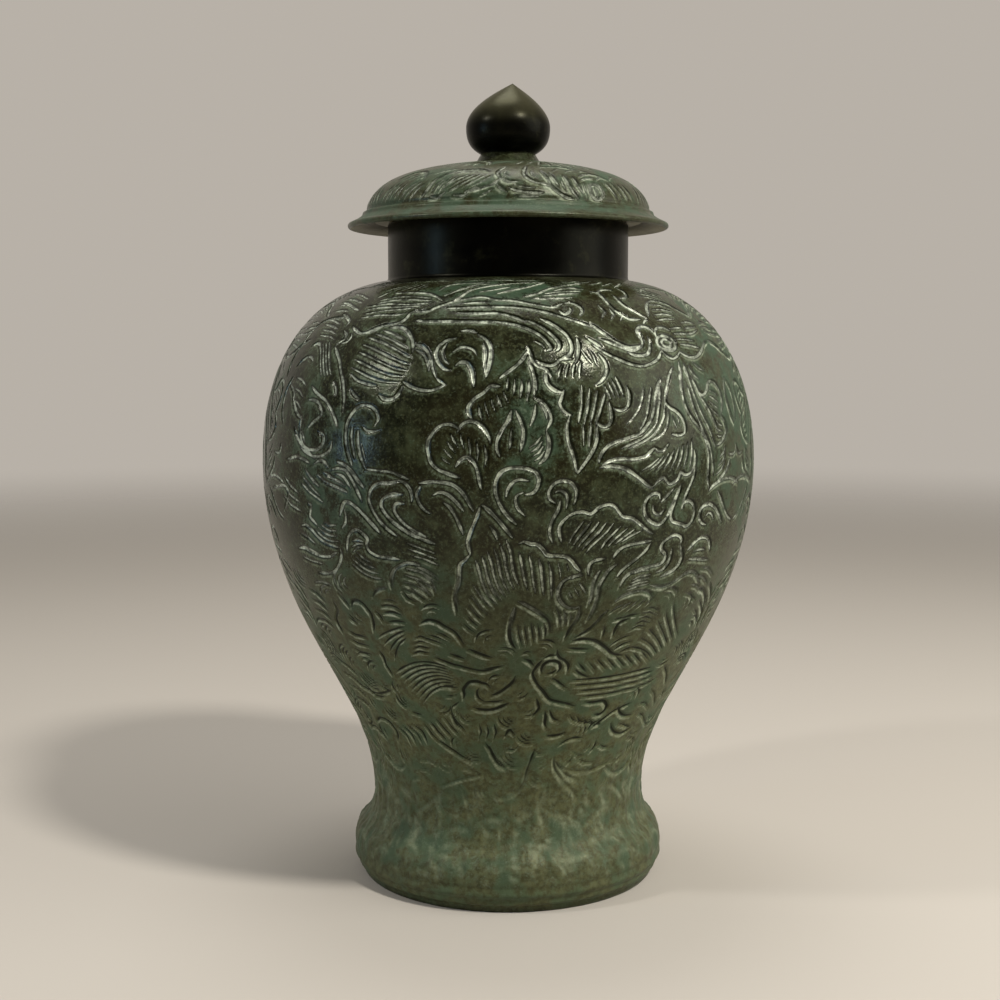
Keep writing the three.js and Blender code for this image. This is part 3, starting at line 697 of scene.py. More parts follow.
# The ringed flower on the right of the shoulder.
FLOWER = (
    ring(41.1, 219.7, 3.1, 3),
    ring(41, 219.6, 1.5, 1.6),
    line(38.3, 217, 39.2, 214.8, 41, 213.4, 43, 214.4, 44.4, 216),
    line(38.5, 220.5, 38.8, 224, 40.5, 226.1, 43, 226, 44.5, 224.8),
    edge(33.4, 219.8, 33.1, 222, 33, 224.3, 34.2, 226.1, 36, 226.6, 37.7, 225.6, 38.3, 223.4),
    edge(35.6, 222, 35.5, 219.4, 34.8, 217, 33.5, 215.2, 31.8, 214.7, 30, 214.9, 28.2, 215.8),
    edge(38.2, 216.5, 36.8, 214, 35, 212.3, 33.2, 211.3, 31, 210.7, 28, 211.6, 25.3, 213.3, 22.4, 215.6,
         19.6, 218.8),
    edge(20.4, 227.9, 23.7, 222.8, 28.1, 218.2, 32.9, 218.2),
    line(21.3, 221.5, 25.6, 218.8, 29.9, 216.6, 33.2, 219.5, 33.4, 225),
    line(28, 244.6, 30, 246.7, 32.5, 247.8, 35.5, 247.4),
    edge(33.1, 243.1, 33.8, 237.3, 36.1, 233.6, 38.5, 230.3, 37.5, 229.2, 36.6, 228),
    line(34.5, 241.5, 37, 242, 38.8, 244, 39.3, 247, 38.5, 249.4),
    fan(3, (24.4, 230.4, 26, 233.4, 25.2, 237), (29.4, 229, 30.6, 231, 31, 233.4)),
    fan(4, (44.6, 225.6, 47.4, 226.2, 50.4, 226.4), (45.8, 219.2, 49.5, 218.6, 53.6, 217.6)),
    edge(44.3, 216, 46, 214.6, 48.3, 213.8, 50.8, 214.4, 54, 216.6, 57, 219.4, 60, 221),
    line(42.5, 212, 42, 208.8, 41.6, 205.5),
    line(44, 211.3, 43.8, 208.4, 44.3, 205.8),
    line(45.4, 210.4, 46.4, 207.4, 48, 205.4),
    vein(47.5, 212, 49, 210, 51, 208.4),
    fan(4, (42, 229.5, 46, 230.4, 50, 230.4), (44, 238, 48.5, 238, 53, 236)),
    edge(40, 231.6, 42, 236, 45, 239.6, 49, 240.6, 53.4, 238.6, 57, 234.6, 60, 232),
    fan(3, (51, 223.4, 54.5, 224, 58, 225.4), (52, 228.6, 55.5, 229.2, 59, 228.4)),
)

# The streaming petals that hang below the flower.
RIBBON_PETALS = (
    edge(39.8, 210, 38.2, 207, 36.9, 203.6, 35.8, 200.4, 35.5, 197.7, 36.5, 195.8, 38.1, 194.4,
         39.5, 192.4, 40.2, 189.6, 40, 187, 38.5, 186.1, 36.2, 186.6),
    vein(30.2, 203, 28.8, 197.4, 27, 193.4, 25, 190.6),
    vein(36.9, 193.2, 37.2, 190.8, 37.7, 188.8),
    vein(38.2, 192.8, 38.7, 190.2),
    edge(35.2, 206, 34, 203, 33, 199.6, 32.2, 195.8, 31.2, 192.2, 29.7, 189.4, 28.2, 187.4, 26, 186.2,
         23, 185, 20.6, 183.4, 19, 180.8, 18.4, 178),
    vein(32.2, 203, 31.2, 199, 30.4, 195, 29.2, 191, 28, 188.6),
    vein(34.8, 204, 34, 199, 33.2, 195, 32.3, 191, 30.7, 188, 28.5, 185.6, 26, 184, 23.5, 182.4),
    vein(35.2, 197, 34.5, 193, 33.3, 190, 31.8, 187.4, 30, 185.4, 28, 184, 25, 182.2),
    vein(35.9, 195, 35.4, 191, 34.3, 188, 32.6, 186, 30.5, 184.5),
    edge(19.2, 177.1, 21, 178.4, 23.4, 179, 26.4, 178.7, 29.2, 179.6, 30.8, 181.4, 31.4, 182.2),
    line(31.4, 182.2, 32.8, 181, 34.1, 181.8, 35.1, 183.4),
    edge(18.6, 176.2, 21.2, 176.6, 23.8, 175.8, 25.8, 174.2, 27.8, 171.9, 29.8, 169.6, 31, 168.8),
    edge(31.3, 169.4, 32.5, 171.1, 33.8, 171.9, 34.8, 170.4, 35.8, 169.7, 37.8, 171.2, 38.5, 173.4,
         39.8, 172.4, 41.4, 173, 42.7, 175.7, 42.9, 178.6, 42.6, 181),
    fan(8, (28.2, 174.8, 30.4, 176.4, 32.5, 178.7), (41.1, 175, 41.8, 179.2, 42, 184.4)),
    edge(42.4, 209.8, 41.4, 206, 41, 201.6, 41.1, 197.4, 41.9, 193.8, 43.5, 190.5, 45.5, 187.2,
         46.9, 183.2, 47.5, 178.6, 47.4, 174, 47.3, 169.6, 48, 166.6),
    vein(43.1, 203.1, 43.9, 195.4, 46, 187.7, 48.3, 180.6, 49.4, 171.2),
    vein(44.2, 210.4, 44.4, 203.1, 45.8, 194.7, 48.4, 187.6, 50.3, 180.5),
    line(45.2, 206.7, 47, 199.4, 49.6, 193.4, 52, 186.2),
    edge(46.6, 200.8, 48.1, 199.8, 49.8, 201.2, 50.8, 203.4, 52.2, 204.7, 54, 204, 55.4, 201.3, 55.6, 198,
         54.8, 194.8, 53.8, 192.3),
    edge(53.8, 192.2, 55.2, 189.6, 55.3, 186.6, 54, 184, 52.3, 182.4, 50.9, 181.9),
    fan(4, (50.6, 201.4, 52.4, 200.6, 54, 199), (49.5, 195.6, 51.2, 193.6, 53, 192)),
    fan(3, (51.6, 190.4, 52.8, 189, 54, 188.4), (51.2, 185.4, 52.2, 184.8, 53.2, 184.8)),
    edge(60, 206, 58.4, 202, 58, 197.6, 58.6, 193, 60, 189),
)

# The ring curls right of the ribbon petals.
RIGHT_CURLS = (
    edge(33, 164.8, 32.7, 166.3, 31.4, 166.7, 29.9, 165.4, 29.1, 163, 29.2, 160.4, 30.2, 157.9,
         31.8, 156.3, 33.3, 155.8, 34.7, 157.2, 35.8, 160, 36.7, 163, 37.8, 166, 38.6, 169),
    line(31.3, 162.6, 31.4, 160.6, 32.4, 159.5, 33.5, 159.6, 34.2, 160.8),
    line(33.3, 163.5, 34.8, 165.5, 36.6, 168),
    edge(37.6, 164.4, 36.7, 161.4, 36.3, 158.7, 36.8, 156.6, 38.2, 155.7, 39.8, 155, 41.3, 154.2,
         42.7, 155.4, 43.4, 158, 43.2, 160.6, 42.2, 162.6, 40.8, 163.2, 39.5, 162.2),
    edge(42.9, 175, 42.2, 171, 41, 167.5, 40, 164.4, 39.3, 160.6),
    edge(48, 153.8, 46.3, 154.8, 45.3, 157, 45.6, 159.5, 47, 161, 49, 161, 51, 159.5, 52.8, 157,
         54.5, 154),
    line(47.6, 157, 48.6, 158, 49.8, 157.4, 50.6, 155.6),
    line(48, 166, 50, 168, 53, 169.2, 56, 169.7, 59, 168.9, 61.5, 167.4),
    line(51.4, 165.6, 53, 162.5, 54.8, 159, 56.8, 156, 59.4, 154),
    edge(50.5, 167.8, 53.2, 170.6, 55.3, 173.2, 56.4, 176.4),
    line(56, 178.5, 58, 178, 59.5, 179, 60, 181.5),
    fan(3, (52, 177.6, 53.6, 179, 54.4, 181), (50.4, 171.4, 52.6, 173.2, 54, 175.8)),
)

# The lotus that fills the front of the lower belly.
LOTUS = (
    edge(-6, 163.3, -6.4, 161, -7.3, 157.4, -8.1, 154.3, -8.6, 151.5, -8.4, 149, -8.1, 147),
    edge(-8.2, 147, -9.2, 145.2, -10.4, 143.3, -10.7, 140.4, -11, 136.6, -11.9, 132.6, -12, 129,
         -11.8, 125.6),
    edge(-5.5, 164.1, -4, 162, -2.3, 159, -0.8, 156, 0.6, 153),
    line(-4, 157, -3, 154.6, -2.5, 152.4),
    fan(6, (-7, 145, -6.4, 141, -5.8, 136.5, -4.6, 132, -2.8, 128.5),
        (-0.7, 152.5, 0.2, 148, 0.5, 144, 1, 140, 1.9, 136.3)),
    fan(5, (-10.5, 121, -9.4, 119, -8, 117.5), (-7.8, 136, -6.7, 133, -5.6, 130, -4, 127.3)),
    edge(2, 151, 3, 151.6, 4.5, 150.8, 5.8, 150.5, 7, 148.7, 8, 146.8, 10, 146.5, 12, 146, 13.2, 144.5,
         14.2, 142.5, 15.3, 140.7),
    fan(4, (2, 148, 2.6, 144, 2.9, 140, 3.9, 134.3), (8.2, 144.5, 8.9, 140.5, 9, 137, 9.4, 131)),
    vein(10.3, 144, 10.8, 141, 11, 138.5),
    vein(12.2, 143.5, 12.7, 141),
    edge(2, 130, 3.5, 128.7, 5.5, 126.7, 7.3, 124.7, 8.6, 123, 9.4, 120.6, 9.7, 117.6),
    edge(1.2, 127.5, 0.6, 124, 0.1, 120, 0.1, 116, 0.7, 113, 1.6, 111),
    fan(5, (2, 121, 2.3, 117, 3.2, 112), (8, 121.5, 8.6, 118.4, 8.6, 115)),
    edge(3.5, 109, 4.4, 109.6, 5.4, 109.4),
    edge(3.8, 106.6, 5.3, 105.3, 6.4, 103.4),
    edge(8.4, 105.6, 7.2, 102.8, 6.3, 100, 6.9, 97.3, 8, 94.6, 9.5, 92, 10.8, 89.5, 12.2, 87.6,
         14.2, 86.6, 17, 85.5, 20, 84),
    edge(12, 110, 12.3, 108, 13, 106.4, 14.5, 105, 15.6, 103, 15.7, 100.5),
    line(9, 106.8, 10.4, 107.7, 12, 107.6),
    edge(8.8, 99.6, 8.5, 102, 9.4, 104.4, 11.2, 105.2, 13, 104.2, 13.5, 101.8, 12.7, 99.8),
    line(12.4, 101.2, 11.4, 99.9, 10.2, 99.8),
    vein(11, 97.6, 12.8, 96.6, 14.2, 96.4),
)

# The crescent and hatched petals right of the lotus.
LOTUS_RIGHT = (
    edge(15.8, 139.1, 13.8, 138.8, 12, 137.6, 11, 135.5, 10.7, 133, 11.1, 130.5, 12.2, 128.3, 13.5, 127,
         15, 126.7, 15.9, 127.4),
    line(13.6, 138, 14.6, 139.2, 15.6, 139.9),
    fan(3, (13.1, 133.2, 13.5, 131.8, 14, 130.8), (15.4, 136.2, 16.4, 134, 17.2, 132.2)),
    edge(16.1, 127, 16.1, 124.2, 15.5, 121.4, 14.6, 118.9, 14, 116.5, 13.5, 114.5),
    fan(3, (10.6, 127.5, 11.4, 124.5, 12.1, 119.6), (14, 125, 14.4, 122.8, 14.2, 120.6)),
    edge(20.6, 144.8, 18.6, 144.4, 17.3, 143, 17.1, 141, 17.3, 139.2),
    line(19.8, 140.6, 18.9, 138, 18.5, 135, 18.6, 131.6, 18.2, 128),
    edge(23.6, 142.5, 22, 140.6, 20.8, 137.6, 20, 134.5, 20, 131, 19.7, 127.5, 19.2, 124.5, 18.5, 121.8),
    line(22, 123, 20.5, 120, 19.3, 118, 17.5, 116, 15.8, 114.8),
    edge(31.4, 149.2, 30.6, 147, 29, 144.7, 27, 142.4, 25.3, 140.4, 24.1, 138),
    edge(40.2, 147.8, 40.4, 149.3, 39.8, 150.6, 38.3, 151.4, 36.7, 150.8, 35.2, 149.4, 34.6, 148,
         34.9, 146.3, 36, 144.8, 36.2, 142.8, 35.2, 141.3, 33, 140.8, 30.6, 140.3, 28.5, 139.5,
         26.8, 138.2, 25.8, 136.4, 25.2, 134),
    edge(40.2, 147.6, 41, 145, 41.3, 142.5, 40.8, 140.1, 39.5, 138.3, 37.6, 137.3, 36, 136.3),
    line(37.8, 146.6, 37.7, 143.4, 37.2, 140.8, 36, 139, 34.4, 138.3),
    line(28.3, 138.6, 30, 139.5, 32.2, 139.4),
    fan(4, (28, 136, 30, 137.3, 33, 137.6), (27, 132.4, 30, 133.6, 33, 134.2)),
    edge(33.5, 133.5, 35.5, 132.8, 38, 132.6, 40, 133.4, 42, 134.9, 44, 136.3, 46, 136.7, 48, 135.6,
         49.6, 133.4, 51, 131),
    edge(24.7, 128.5, 26, 130, 28, 131.1, 30, 131.7, 32.2, 131.6, 34, 130.4, 35, 128.2),
    fan(5, (24, 124.3, 25.3, 126, 27, 127), (33.4, 126, 34.4, 127.4, 35.4, 129.4)),
    edge(43, 145.3, 44.2, 146.9, 45.8, 148.5, 47.5, 149.3, 49.5, 148.7, 50.8, 146.6, 51.5, 144),
    line(44, 141.8, 46, 141.5, 49, 140.8, 52, 140),
    vein(45, 144.4, 47.4, 144.9, 49.4, 144.4),
)

# The leaves and scrolls left of the lotus.
LEFT_SCROLLS = (
    edge(-55.5, 144, -53, 144.4, -50, 143.3, -47, 142.5, -44, 142.7, -42.4, 143.6, -41, 144.7),
    edge(-39.5, 146.2, -39.6, 144, -40.3, 141.5, -41.3, 139.5, -42.4, 138, -43.6, 136.9, -46, 136.1,
         -49, 135.8),
    edge(-52, 153, -50.4, 153.4, -48.5, 152, -46.5, 149.6, -44.5, 148, -42, 147.2, -40, 146.7),
    fan(4, (-43.5, 155.3, -41.8, 154.4, -39.8, 154.8),
        (-47, 152.4, -44.6, 149.8, -42, 148.7, -39.8, 148.9)),
    fan(3, (-53, 150, -50.4, 149, -47.6, 146.8), (-54.5, 141, -51, 140, -46.6, 139.6)),
    edge(-37.5, 146, -37.2, 148.5, -36.6, 151, -35.5, 153, -34, 153.8, -32.6, 152.6, -31.5, 150.8,
         -31.9, 149, -31.7, 147.3, -31, 146, -29, 144.8, -26.5, 144.6, -24, 144.3),
    fan(3, (-35.6, 149.6, -34.2, 150.3, -32.6, 149.8), (-35.8, 145.6, -34.4, 147.4, -32.8, 148)),
    fan(4, (-34.8, 145.6, -33.2, 143.6, -31, 142), (-36.6, 141.2, -34.4, 138.4, -31.8, 136.8, -29, 136.6)),
    edge(-19.4, 142.6, -22, 143.1, -24, 142, -25.6, 140.3, -26.5, 138, -26.8, 136, -26.7, 133.8),
    edge(-28.4, 133.4, -30.2, 132.8, -31.6, 131.5, -32.6, 129.4),
    line(-30, 128.3, -28, 128.6, -26.2, 127.7),
    line(-31, 125.8, -29, 126.4, -27, 126, -25.4, 124.7),
    line(-30.4, 123.4, -28, 123.8, -25.8, 122.9),
    fan(4, (-22.8, 141.2, -19.2, 139.9, -15.5, 136.2), (-24.2, 133.5, -20.8, 131.7, -18, 128.9)),
    fan(4, (-24.4, 133, -23.2, 130, -21, 128.4), (-19, 139.4, -17, 136.6, -16.2, 132.4)),
    edge(-20.2, 142, -17.6, 140.2, -15.5, 137.8),
    fan(3, (-22, 150.4, -19, 148.8, -15.6, 147), (-21, 146, -18, 144.8, -15, 142.8)),
)

# The ragged leaf left of the lotus foot.
LOWER_LEFT = (
    edge(-21, 120.5, -19, 121.8, -17, 121.3, -15.3, 119.7, -13.4, 118, -12.3, 116, -11.8, 114.5,
         -11, 112.4),
    edge(-10, 110.5, -8, 109, -6, 107.8, -4.3, 107.2),
    edge(-15, 108.2, -13.5, 107.3, -11.4, 106.3),
    line(-19, 106.3, -17, 104.8, -14.5, 103.8),
    line(-6.5, 102, -4, 102.5, -1.2, 103.7),
    fan(3, (-21.5, 114.2, -18.8, 113.4, -16.2, 112.2), (-18, 117.4, -16, 116.2, -14, 114.4)),
    line(-42.3, 121, -40.2, 117.2),
    line(-32.8, 123.7, -31.9, 121.5, -31.3, 119.5),
    line(-29.9, 119.7, -27.3, 120.3, -25.1, 120.2),
    line(-35.7, 106.4, -35.1, 103.4, -35.2, 100.4, -34.1, 95.9),
    line(-17.9, 105.6, -15.3, 103.8, -12.9, 103, -9.7, 101.7, -6.7, 101.1, -3.9, 101.9),
    line(-52.3, 88, -48.4, 86.4, -43.9, 85.4, -37.6, 87.9),
    line(-17.8, 79.3, -16.8, 75.7, -15.8, 74.2),
    edge(-40.3, 124, -39.7, 126, -38.3, 127, -36.5, 126.3, -35.3, 124, -34.6, 121.5, -34.8, 118,
         -35.4, 115),
    fan(4, (-34, 113, -31.4, 115.2, -27.8, 117.4, -25.8, 118.2),
        (-31.2, 104, -30.1, 107.5, -28.5, 110.8, -26, 113.4)),
    fan(4, (-25.3, 107, -23, 108.2, -20, 107.8), (-23.5, 114, -21.8, 114.8, -19.5, 114)),
    edge(-43.6, 129.2, -42.4, 126.6, -41, 124),
    line(-52, 131.5, -48.6, 132.2, -45.5, 131.4),
    edge(-46.5, 124.4, -46.2, 122, -47, 120, -48, 118, -48.3, 115, -47.4, 112),
    line(-42.6, 119.6, -41.4, 118, -40.1, 117.5),
    fan(4, (-56, 128.4, -53, 127.2, -50, 124.4), (-57, 116, -53.6, 115.6, -50.6, 113.4)),
    fan(3, (-45, 113.6, -42.4, 112, -38.4, 111.6), (-46, 106, -43, 104.4, -39, 104.2)),
    fan(8, (-32.2, 98, -27, 102.3, -22.4, 104.2, -15.7, 102.2),
        (-26, 85.6, -22.2, 91, -17.9, 93.9, -14.3, 92.8)),
)

# The long hatched petals right of the lotus foot.
LOWER_RIGHT = (
    line(17.9, 115.9, 19.9, 118.5, 21.7, 122.5, 23, 124.9),
    line(27.5, 121.7, 30.3, 122.4, 31.7, 122.6),
    line(17.8, 100.8, 19.9, 98.5, 22.5, 96.8),
    line(27.3, 71.8, 28.5, 74.4, 30.8, 76.2),
    line(17.9, 66.4, 21.1, 68.8, 26.2, 68.6),
    edge(16.4, 61.1, 17.5, 55.7, 21.1, 50.3),
    line(25.5, 121.2, 27, 121.6, 28.4, 121.5),
    edge(26.2, 114.5, 26.4, 117, 27, 119.3, 28.3, 120.5, 29.6, 121),
    edge(23.2, 118.5, 23.5, 116.6, 23.3, 114.6),
    fan(3, (26.2, 110.3, 27.6, 112.2, 29.5, 113.5, 31.4, 113.9), (29, 106.6, 31.4, 108.2, 33.6, 108.8)),
    line(14.6, 110.7, 17, 110, 20, 109.6),
    fan(6, (33, 108.6, 36, 107.5, 39, 105.5, 42, 102), (42.5, 126, 44, 121, 46.4, 116, 50, 110)),
    fan(5, (31, 116.6, 33, 117.6, 35.4, 117), (33.6, 124.6, 36, 124.4, 38.6, 122.4)),
    fan(8, (18, 104.3, 21, 99.5), (36.8, 106.2, 41.6, 100.8)),
    fan(4, (17.3, 96.4, 26.9, 96, 37.5, 96.9, 43.3, 97.5),
        (21.8, 88.1, 32.5, 88.3, 44.8, 89.5, 48.5, 91.5)),
    edge(15.6, 113.6, 18.6, 114, 22, 112.6, 25, 109.6, 27.6, 106.6, 30.6, 105.4),
    fan(4, (46, 128.6, 48.4, 127.4, 51.4, 124.6), (50, 137.6, 53, 136.6, 56.4, 133.6)),
    fan(4, (52.4, 121, 55, 118.4, 58, 114), (56, 130.6, 58.4, 127.4, 60.4, 123)),
    edge(51.6, 129.6, 54.6, 127.4, 57, 123.4, 58.4, 118, 58.6, 112),
    line(11.8, 97.8, 14.5, 94.7, 16.6, 92.6),
)

# Worn curls and leaves on the lower flank.
LOWER_BAND = (
    edge(1.7, 99, 1.3, 97, 0.5, 95.2, -0.8, 93.5, -2, 92, -3.5, 90.7, -5, 90),
    edge(-5.2, 93.7, -6, 95, -7.5, 95.6, -9, 96.2, -10.8, 95.7, -12, 94, -12.9, 92, -12.8, 90, -13.2, 88),
    line(-8.3, 93.3, -9, 91.3, -8.6, 88.4, -6.3, 86.5),
    fan(3, (-9.4, 76.7, -9, 73, -9.9, 69.7), (-4.6, 76.8, -4.1, 73.1, -4.9, 69.9)),
    line(-7.9, 67.9, -4.5, 61.4, -0.8, 56.4),
    line(-25.3, 68.1, -18.2, 62.3, -12.4, 58.3),
    line(17.9, 57.9, 22.6, 54.6, 32, 53.2, 43, 55.6),
    line(-7.4, 87, -5, 87, -3, 87.2, -1.4, 88),
    edge(-10.8, 84.3, -9, 83.3, -6.5, 83, -4, 83.7, -2, 85, 0, 86.4),
    fan(3, (-20, 93.4, -17.6, 92.8, -14.6, 93), (-17.6, 83.6, -16, 85, -14.6, 86.6)),
    edge(8, 88.5, 8.6, 86, 9, 84, 8.3, 82, 7.3, 80.3),
    edge(11, 82.5, 11.5, 79.5, 11.5, 76.5, 12.3, 74.5),
    line(12.4, 82.8, 13.2, 80.5, 14.3, 78.5, 16.5, 77.4),
    edge(12.3, 71, 14.5, 70.6, 17, 70.9, 19, 72),
    edge(-1.2, 71.2, 0.2, 73.8, 1.9, 72),
    edge(-6.4, 66.4, -5.6, 62.4, -4, 59, -2.4, 57.4, -0.8, 56.6),
    edge(9, 64.5, 8.2, 61, 7.4, 58, 6.6, 54.5, 6, 51.4, 4.6, 48.6, 2.4, 46.4, -0.4, 44.8),
    fan(5, (-28.7, 74.4, -26.5, 69.9, -24, 66.4), (-18.4, 81.2, -16.3, 76.5, -14, 72.3)),
    line(-48.9, 89.5, -45.4, 84.3, -40.5, 84.7),
    line(-32.1, 79.6, -27.7, 78.2),
    line(28.9, 72.9, 35.4, 79, 41.7, 81.5),
    edge(-52, 71, -48, 73.4, -44.4, 72, -42.4, 68, -43.6, 64),
    fan(4, (-40.6, 71.4, -38, 68, -37, 63.6), (-33.4, 74, -30.4, 70.4, -29.4, 65.4)),
    edge(23, 85.4, 26, 84.8, 29.6, 84.8, 31.6, 82.6, 31.6, 80, 30, 78.4, 27.6, 79.2),
    fan(4, (19, 80.4, 20.6, 77.6, 23.4, 75.6), (26.4, 77, 29, 74.4, 32.6, 73.4)),
    edge(36.6, 81, 38.4, 78, 41.4, 75.8, 45, 75.4),
    edge(36, 73.6, 37.6, 70.6, 40.4, 68.2, 44, 67.4, 47.4, 69),
    fan(3, (33.4, 64.6, 37, 62.4, 41, 61.8), (46, 80.6, 50, 79.6, 54, 76.6)),
    edge(17, 59.6, 19.6, 55.4, 23.4, 52, 28, 49.8),
    fan(3, (22.6, 63, 26, 60.6, 29.6, 59.8), (29, 55.4, 33, 53.6, 37.4, 54.2)),
    edge(40.6, 53.6, 44.4, 50.6, 49, 49.4, 53.6, 51, 56, 54.6),
    fan(4, (48, 64.6, 52, 63.4, 56, 60.4), (50, 97, 54, 92.6, 58, 86)),
    edge(-56, 56.6, -52, 53, -47.6, 51.6, -43.4, 53.4),
    fan(3, (-41.6, 48, -38, 49.4, -34, 49.2), (-34.6, 57.6, -30, 58, -25.6, 56)),
    line(-28.3, 46.8, -19.7, 50.9, -8.7, 54.4),
    line(-18.2, 56.8, -13.4, 55.5, -8.8, 53.5),
    fan(4, (-58.6, 98, -54, 96, -50, 92.6), (-60, 80.4, -55.6, 79.6, -51, 77)),
    line(-60, 66, -56.6, 67.4, -53, 66.4, -50, 63.4),
)

# The scrolls of the foot, which are worn soft.
FOOT_SCROLLS = (
    worn(15.1, 48.3, 14.1, 43.3, 10.8, 40.3, 6.6, 38, 2.4, 36.5),
    worn(4.9, 30.3, 1.6, 28.1, -2.5, 26.6, -4.4, 24.3),
    worn(16.9, 37.4, 22.3, 36.9, 27, 34.7, 30.8, 31.9, 28.6, 29.9),
    worn(31.8, 31.7, 36.2, 34.1, 40.8, 36.5, 48.6, 35.8),
    worn(-25.7, 29.5, -23.2, 32.1, -17.8, 32.6, -14.3, 31.4),
    worn(-13.5, 34.5, -9.2, 36.3, -5.9, 37.3, -2.5, 36.5),
    worn(-42.7, 21.4, -40.9, 23.7, -36.4, 23.4, -34.1, 20.8),
    worn(-32.4, 25.4, -28.8, 23.5, -29.2, 20.1),
    worn(-26.4, 22.2, -22.1, 22, -18.3, 20, -15.5, 21.9),
    worn(-37.4, 16.2, -31.7, 15, -27.3, 14.3, -22.4, 14.3),
    worn(15.8, 23.6, 20, 20.6, 26.1, 21.4, 31.8, 22.1),
    worn(39.1, 26.6, 45.6, 27.6, 53.7, 29.8),
    worn(-60.9, 25.5, -56.4, 29.2, -47.7, 30.4),
    worn(-49.9, 44.5, -45.1, 42.8, -41.3, 40.8),
    worn(-27, 46.3, -29.4, 43.2, -34, 40, -40, 36),
    worn(-17.7, 46.9, -16.9, 43.8, -16.1, 40.7),
    worn(-13.5, 45, -12.6, 42.8, -13.3, 40.1),
    worn(21.1, 50.3, 25.8, 45.8, 28.9, 41.5),
    worn(31.6, 43.5, 35.5, 40),
    worn(44, 46, 50, 43, 55, 38.4),
    worn(42, 18, 47, 20.4, 53, 18.6, 57, 15),
    worn(-6, 17.4, 0, 19.6, 7, 18.4, 11, 15.6),
    worn(6, 27, 10.4, 29.4, 12, 32.6, 9, 34),
    worn(-56, 36.6, -51, 38.6, -46, 36.4),
    worn(-58, 17, -53, 19.6, -48, 18),
)

# The veined leaf on the left.
LID_LEAF = (
    edge(-35, 1.6, -33, 5.6, -31.4, 9.4, -27, 13, -21, 15, -14, 15.4, -8, 13.6),
    edge(-31, 1.4, -28, 1.2, -25, 3),
    edge(-21.5, 1.8, -18.5, 1.4, -15.6, 2),
    edge(-16.5, 3.2, -11.5, 4.3, -6, 6.2, -3.4, 9),
    fan(5, (-26, 5.4, -22, 8.6, -17, 11.4), (-14, 5.6, -10, 8, -6.4, 11)),
    fan(3, (-30.6, 3.8, -29.4, 7, -26.6, 10), (-26.6, 3.6, -25, 7, -21.6, 10.6)),
    fan(3, (-46, 2, -43.6, 6, -40, 9.4), (-40, 1.6, -38.6, 4.6, -36, 7.4)),
)

# Two open curls at the front and the petals under them.
LID_CURLS = (
    edge(-1.5, 17.5, -4, 14.5, -4.8, 11.8, -3, 9.2, 0, 7.2, 3.5, 7.2),
    edge(8, 18, 6.6, 14, 6.5, 10.6, 9, 7.8, 13, 6.2),
    line(-5, 6.5, -3, 4, -0.8, 2.6),
    line(0, 4.2, 4, 2.9, 9, 2.3, 13, 2.4),
    vein(-1.4, 13.6, -1.8, 11.6, 0.4, 9.8),
    vein(9.8, 13.8, 9.6, 11.6, 11.4, 9.6),
)

# Lines that hang to the right, and the loop beside them.
LID_HANGING_LINES = (
    edge(17.6, 12.5, 18.4, 9, 19.6, 5.8),
    edge(14, 14, 15.5, 10, 16.4, 6.6),
    edge(12.6, 6.4, 14.6, 5.8, 16.5, 5.4, 18.4, 3.3, 21.5, 1.2, 25, 0.4),
    edge(23.4, 11, 24, 7, 25.2, 3.2, 27.2, 0.6),
    line(27.4, 10.4, 28, 6.4, 29.6, 2.6),
    ring(36, 4, 3, 3.2),
    fan(3, (33, 1.4, 33, 4, 33, 7), (39, 1.4, 39, 4, 39, 7)),
    fan(4, (43, 9, 44.6, 5.4, 46.6, 1.6), (55, 8.4, 56, 5, 57.4, 1.8)),
    edge(31, 11, 36, 13.4, 42, 13, 47, 10.6),
)

# Short strokes that fill the ground between the motifs.
LID_NICKS = (
    fan(4, (-58, 2, -57, 5.4, -55.4, 8.8), (-49, 2.4, -48, 5.6, -46.4, 8.6)),
    fan(3, (-51, 11, -48, 13.2, -45, 14.8), (-41, 10.8, -38.6, 12.8, -36, 14.2)),
    fan(3, (-33, 14, -29, 16, -24, 17), (-23, 13, -19, 13.6, -14, 13.4)),
    fan(3, (-23.4, 3.4, -20.4, 5.2, -17.6, 7.4), (-10.6, 1.6, -8, 2.6, -6, 4)),
    fan(3, (2, 5.6, 6, 4.6, 10, 4.4), (2, 1.4, 6, 0.9, 11, 0.9)),
    fan(3, (19.6, 13.8, 21.6, 15.6, 24.6, 16.8), (33.4, 14.8, 36.6, 15.8, 40, 15.4)),
    fan(3, (30.6, 8.8, 34, 10.4, 38, 10.6), (48.6, 11, 51, 12.8, 54, 13.6)),
    fan(2, (21.2, 8.6, 21.6, 6, 22.6, 3.4), (31.2, 8, 31, 5, 31.6, 2)),
)

# Leaf sprays on the flatter top, round the seat of the knob.
LID_CROWN_LEAVES = (
    edge(-52, 19, -46, 26.6, -38, 32, -28, 34.4, -18, 33, -12, 28, -10, 21),
    fan(6, (-46, 22, -39, 27, -31, 30), (-17, 19.4, -17, 24, -15.4, 29)),
    edge(4, 22, 9, 29, 18, 34, 28, 35.5, 38, 33, 44, 27, 47, 19),
    fan(6, (10, 22, 14, 27, 19, 30.6), (41, 19, 38, 25, 32, 29.6)),
    edge(-57, 12, -52, 16, -46, 17, -41, 15, -38, 11),
    edge(14, 17.4, 20, 19, 27, 19, 33, 16.6),
    fan(4, (-56, 40, -44, 38.6, -34, 38), (-14, 38, -4, 39, 6, 40.4)),
    edge(48, 34, 52, 38, 58, 40),
)


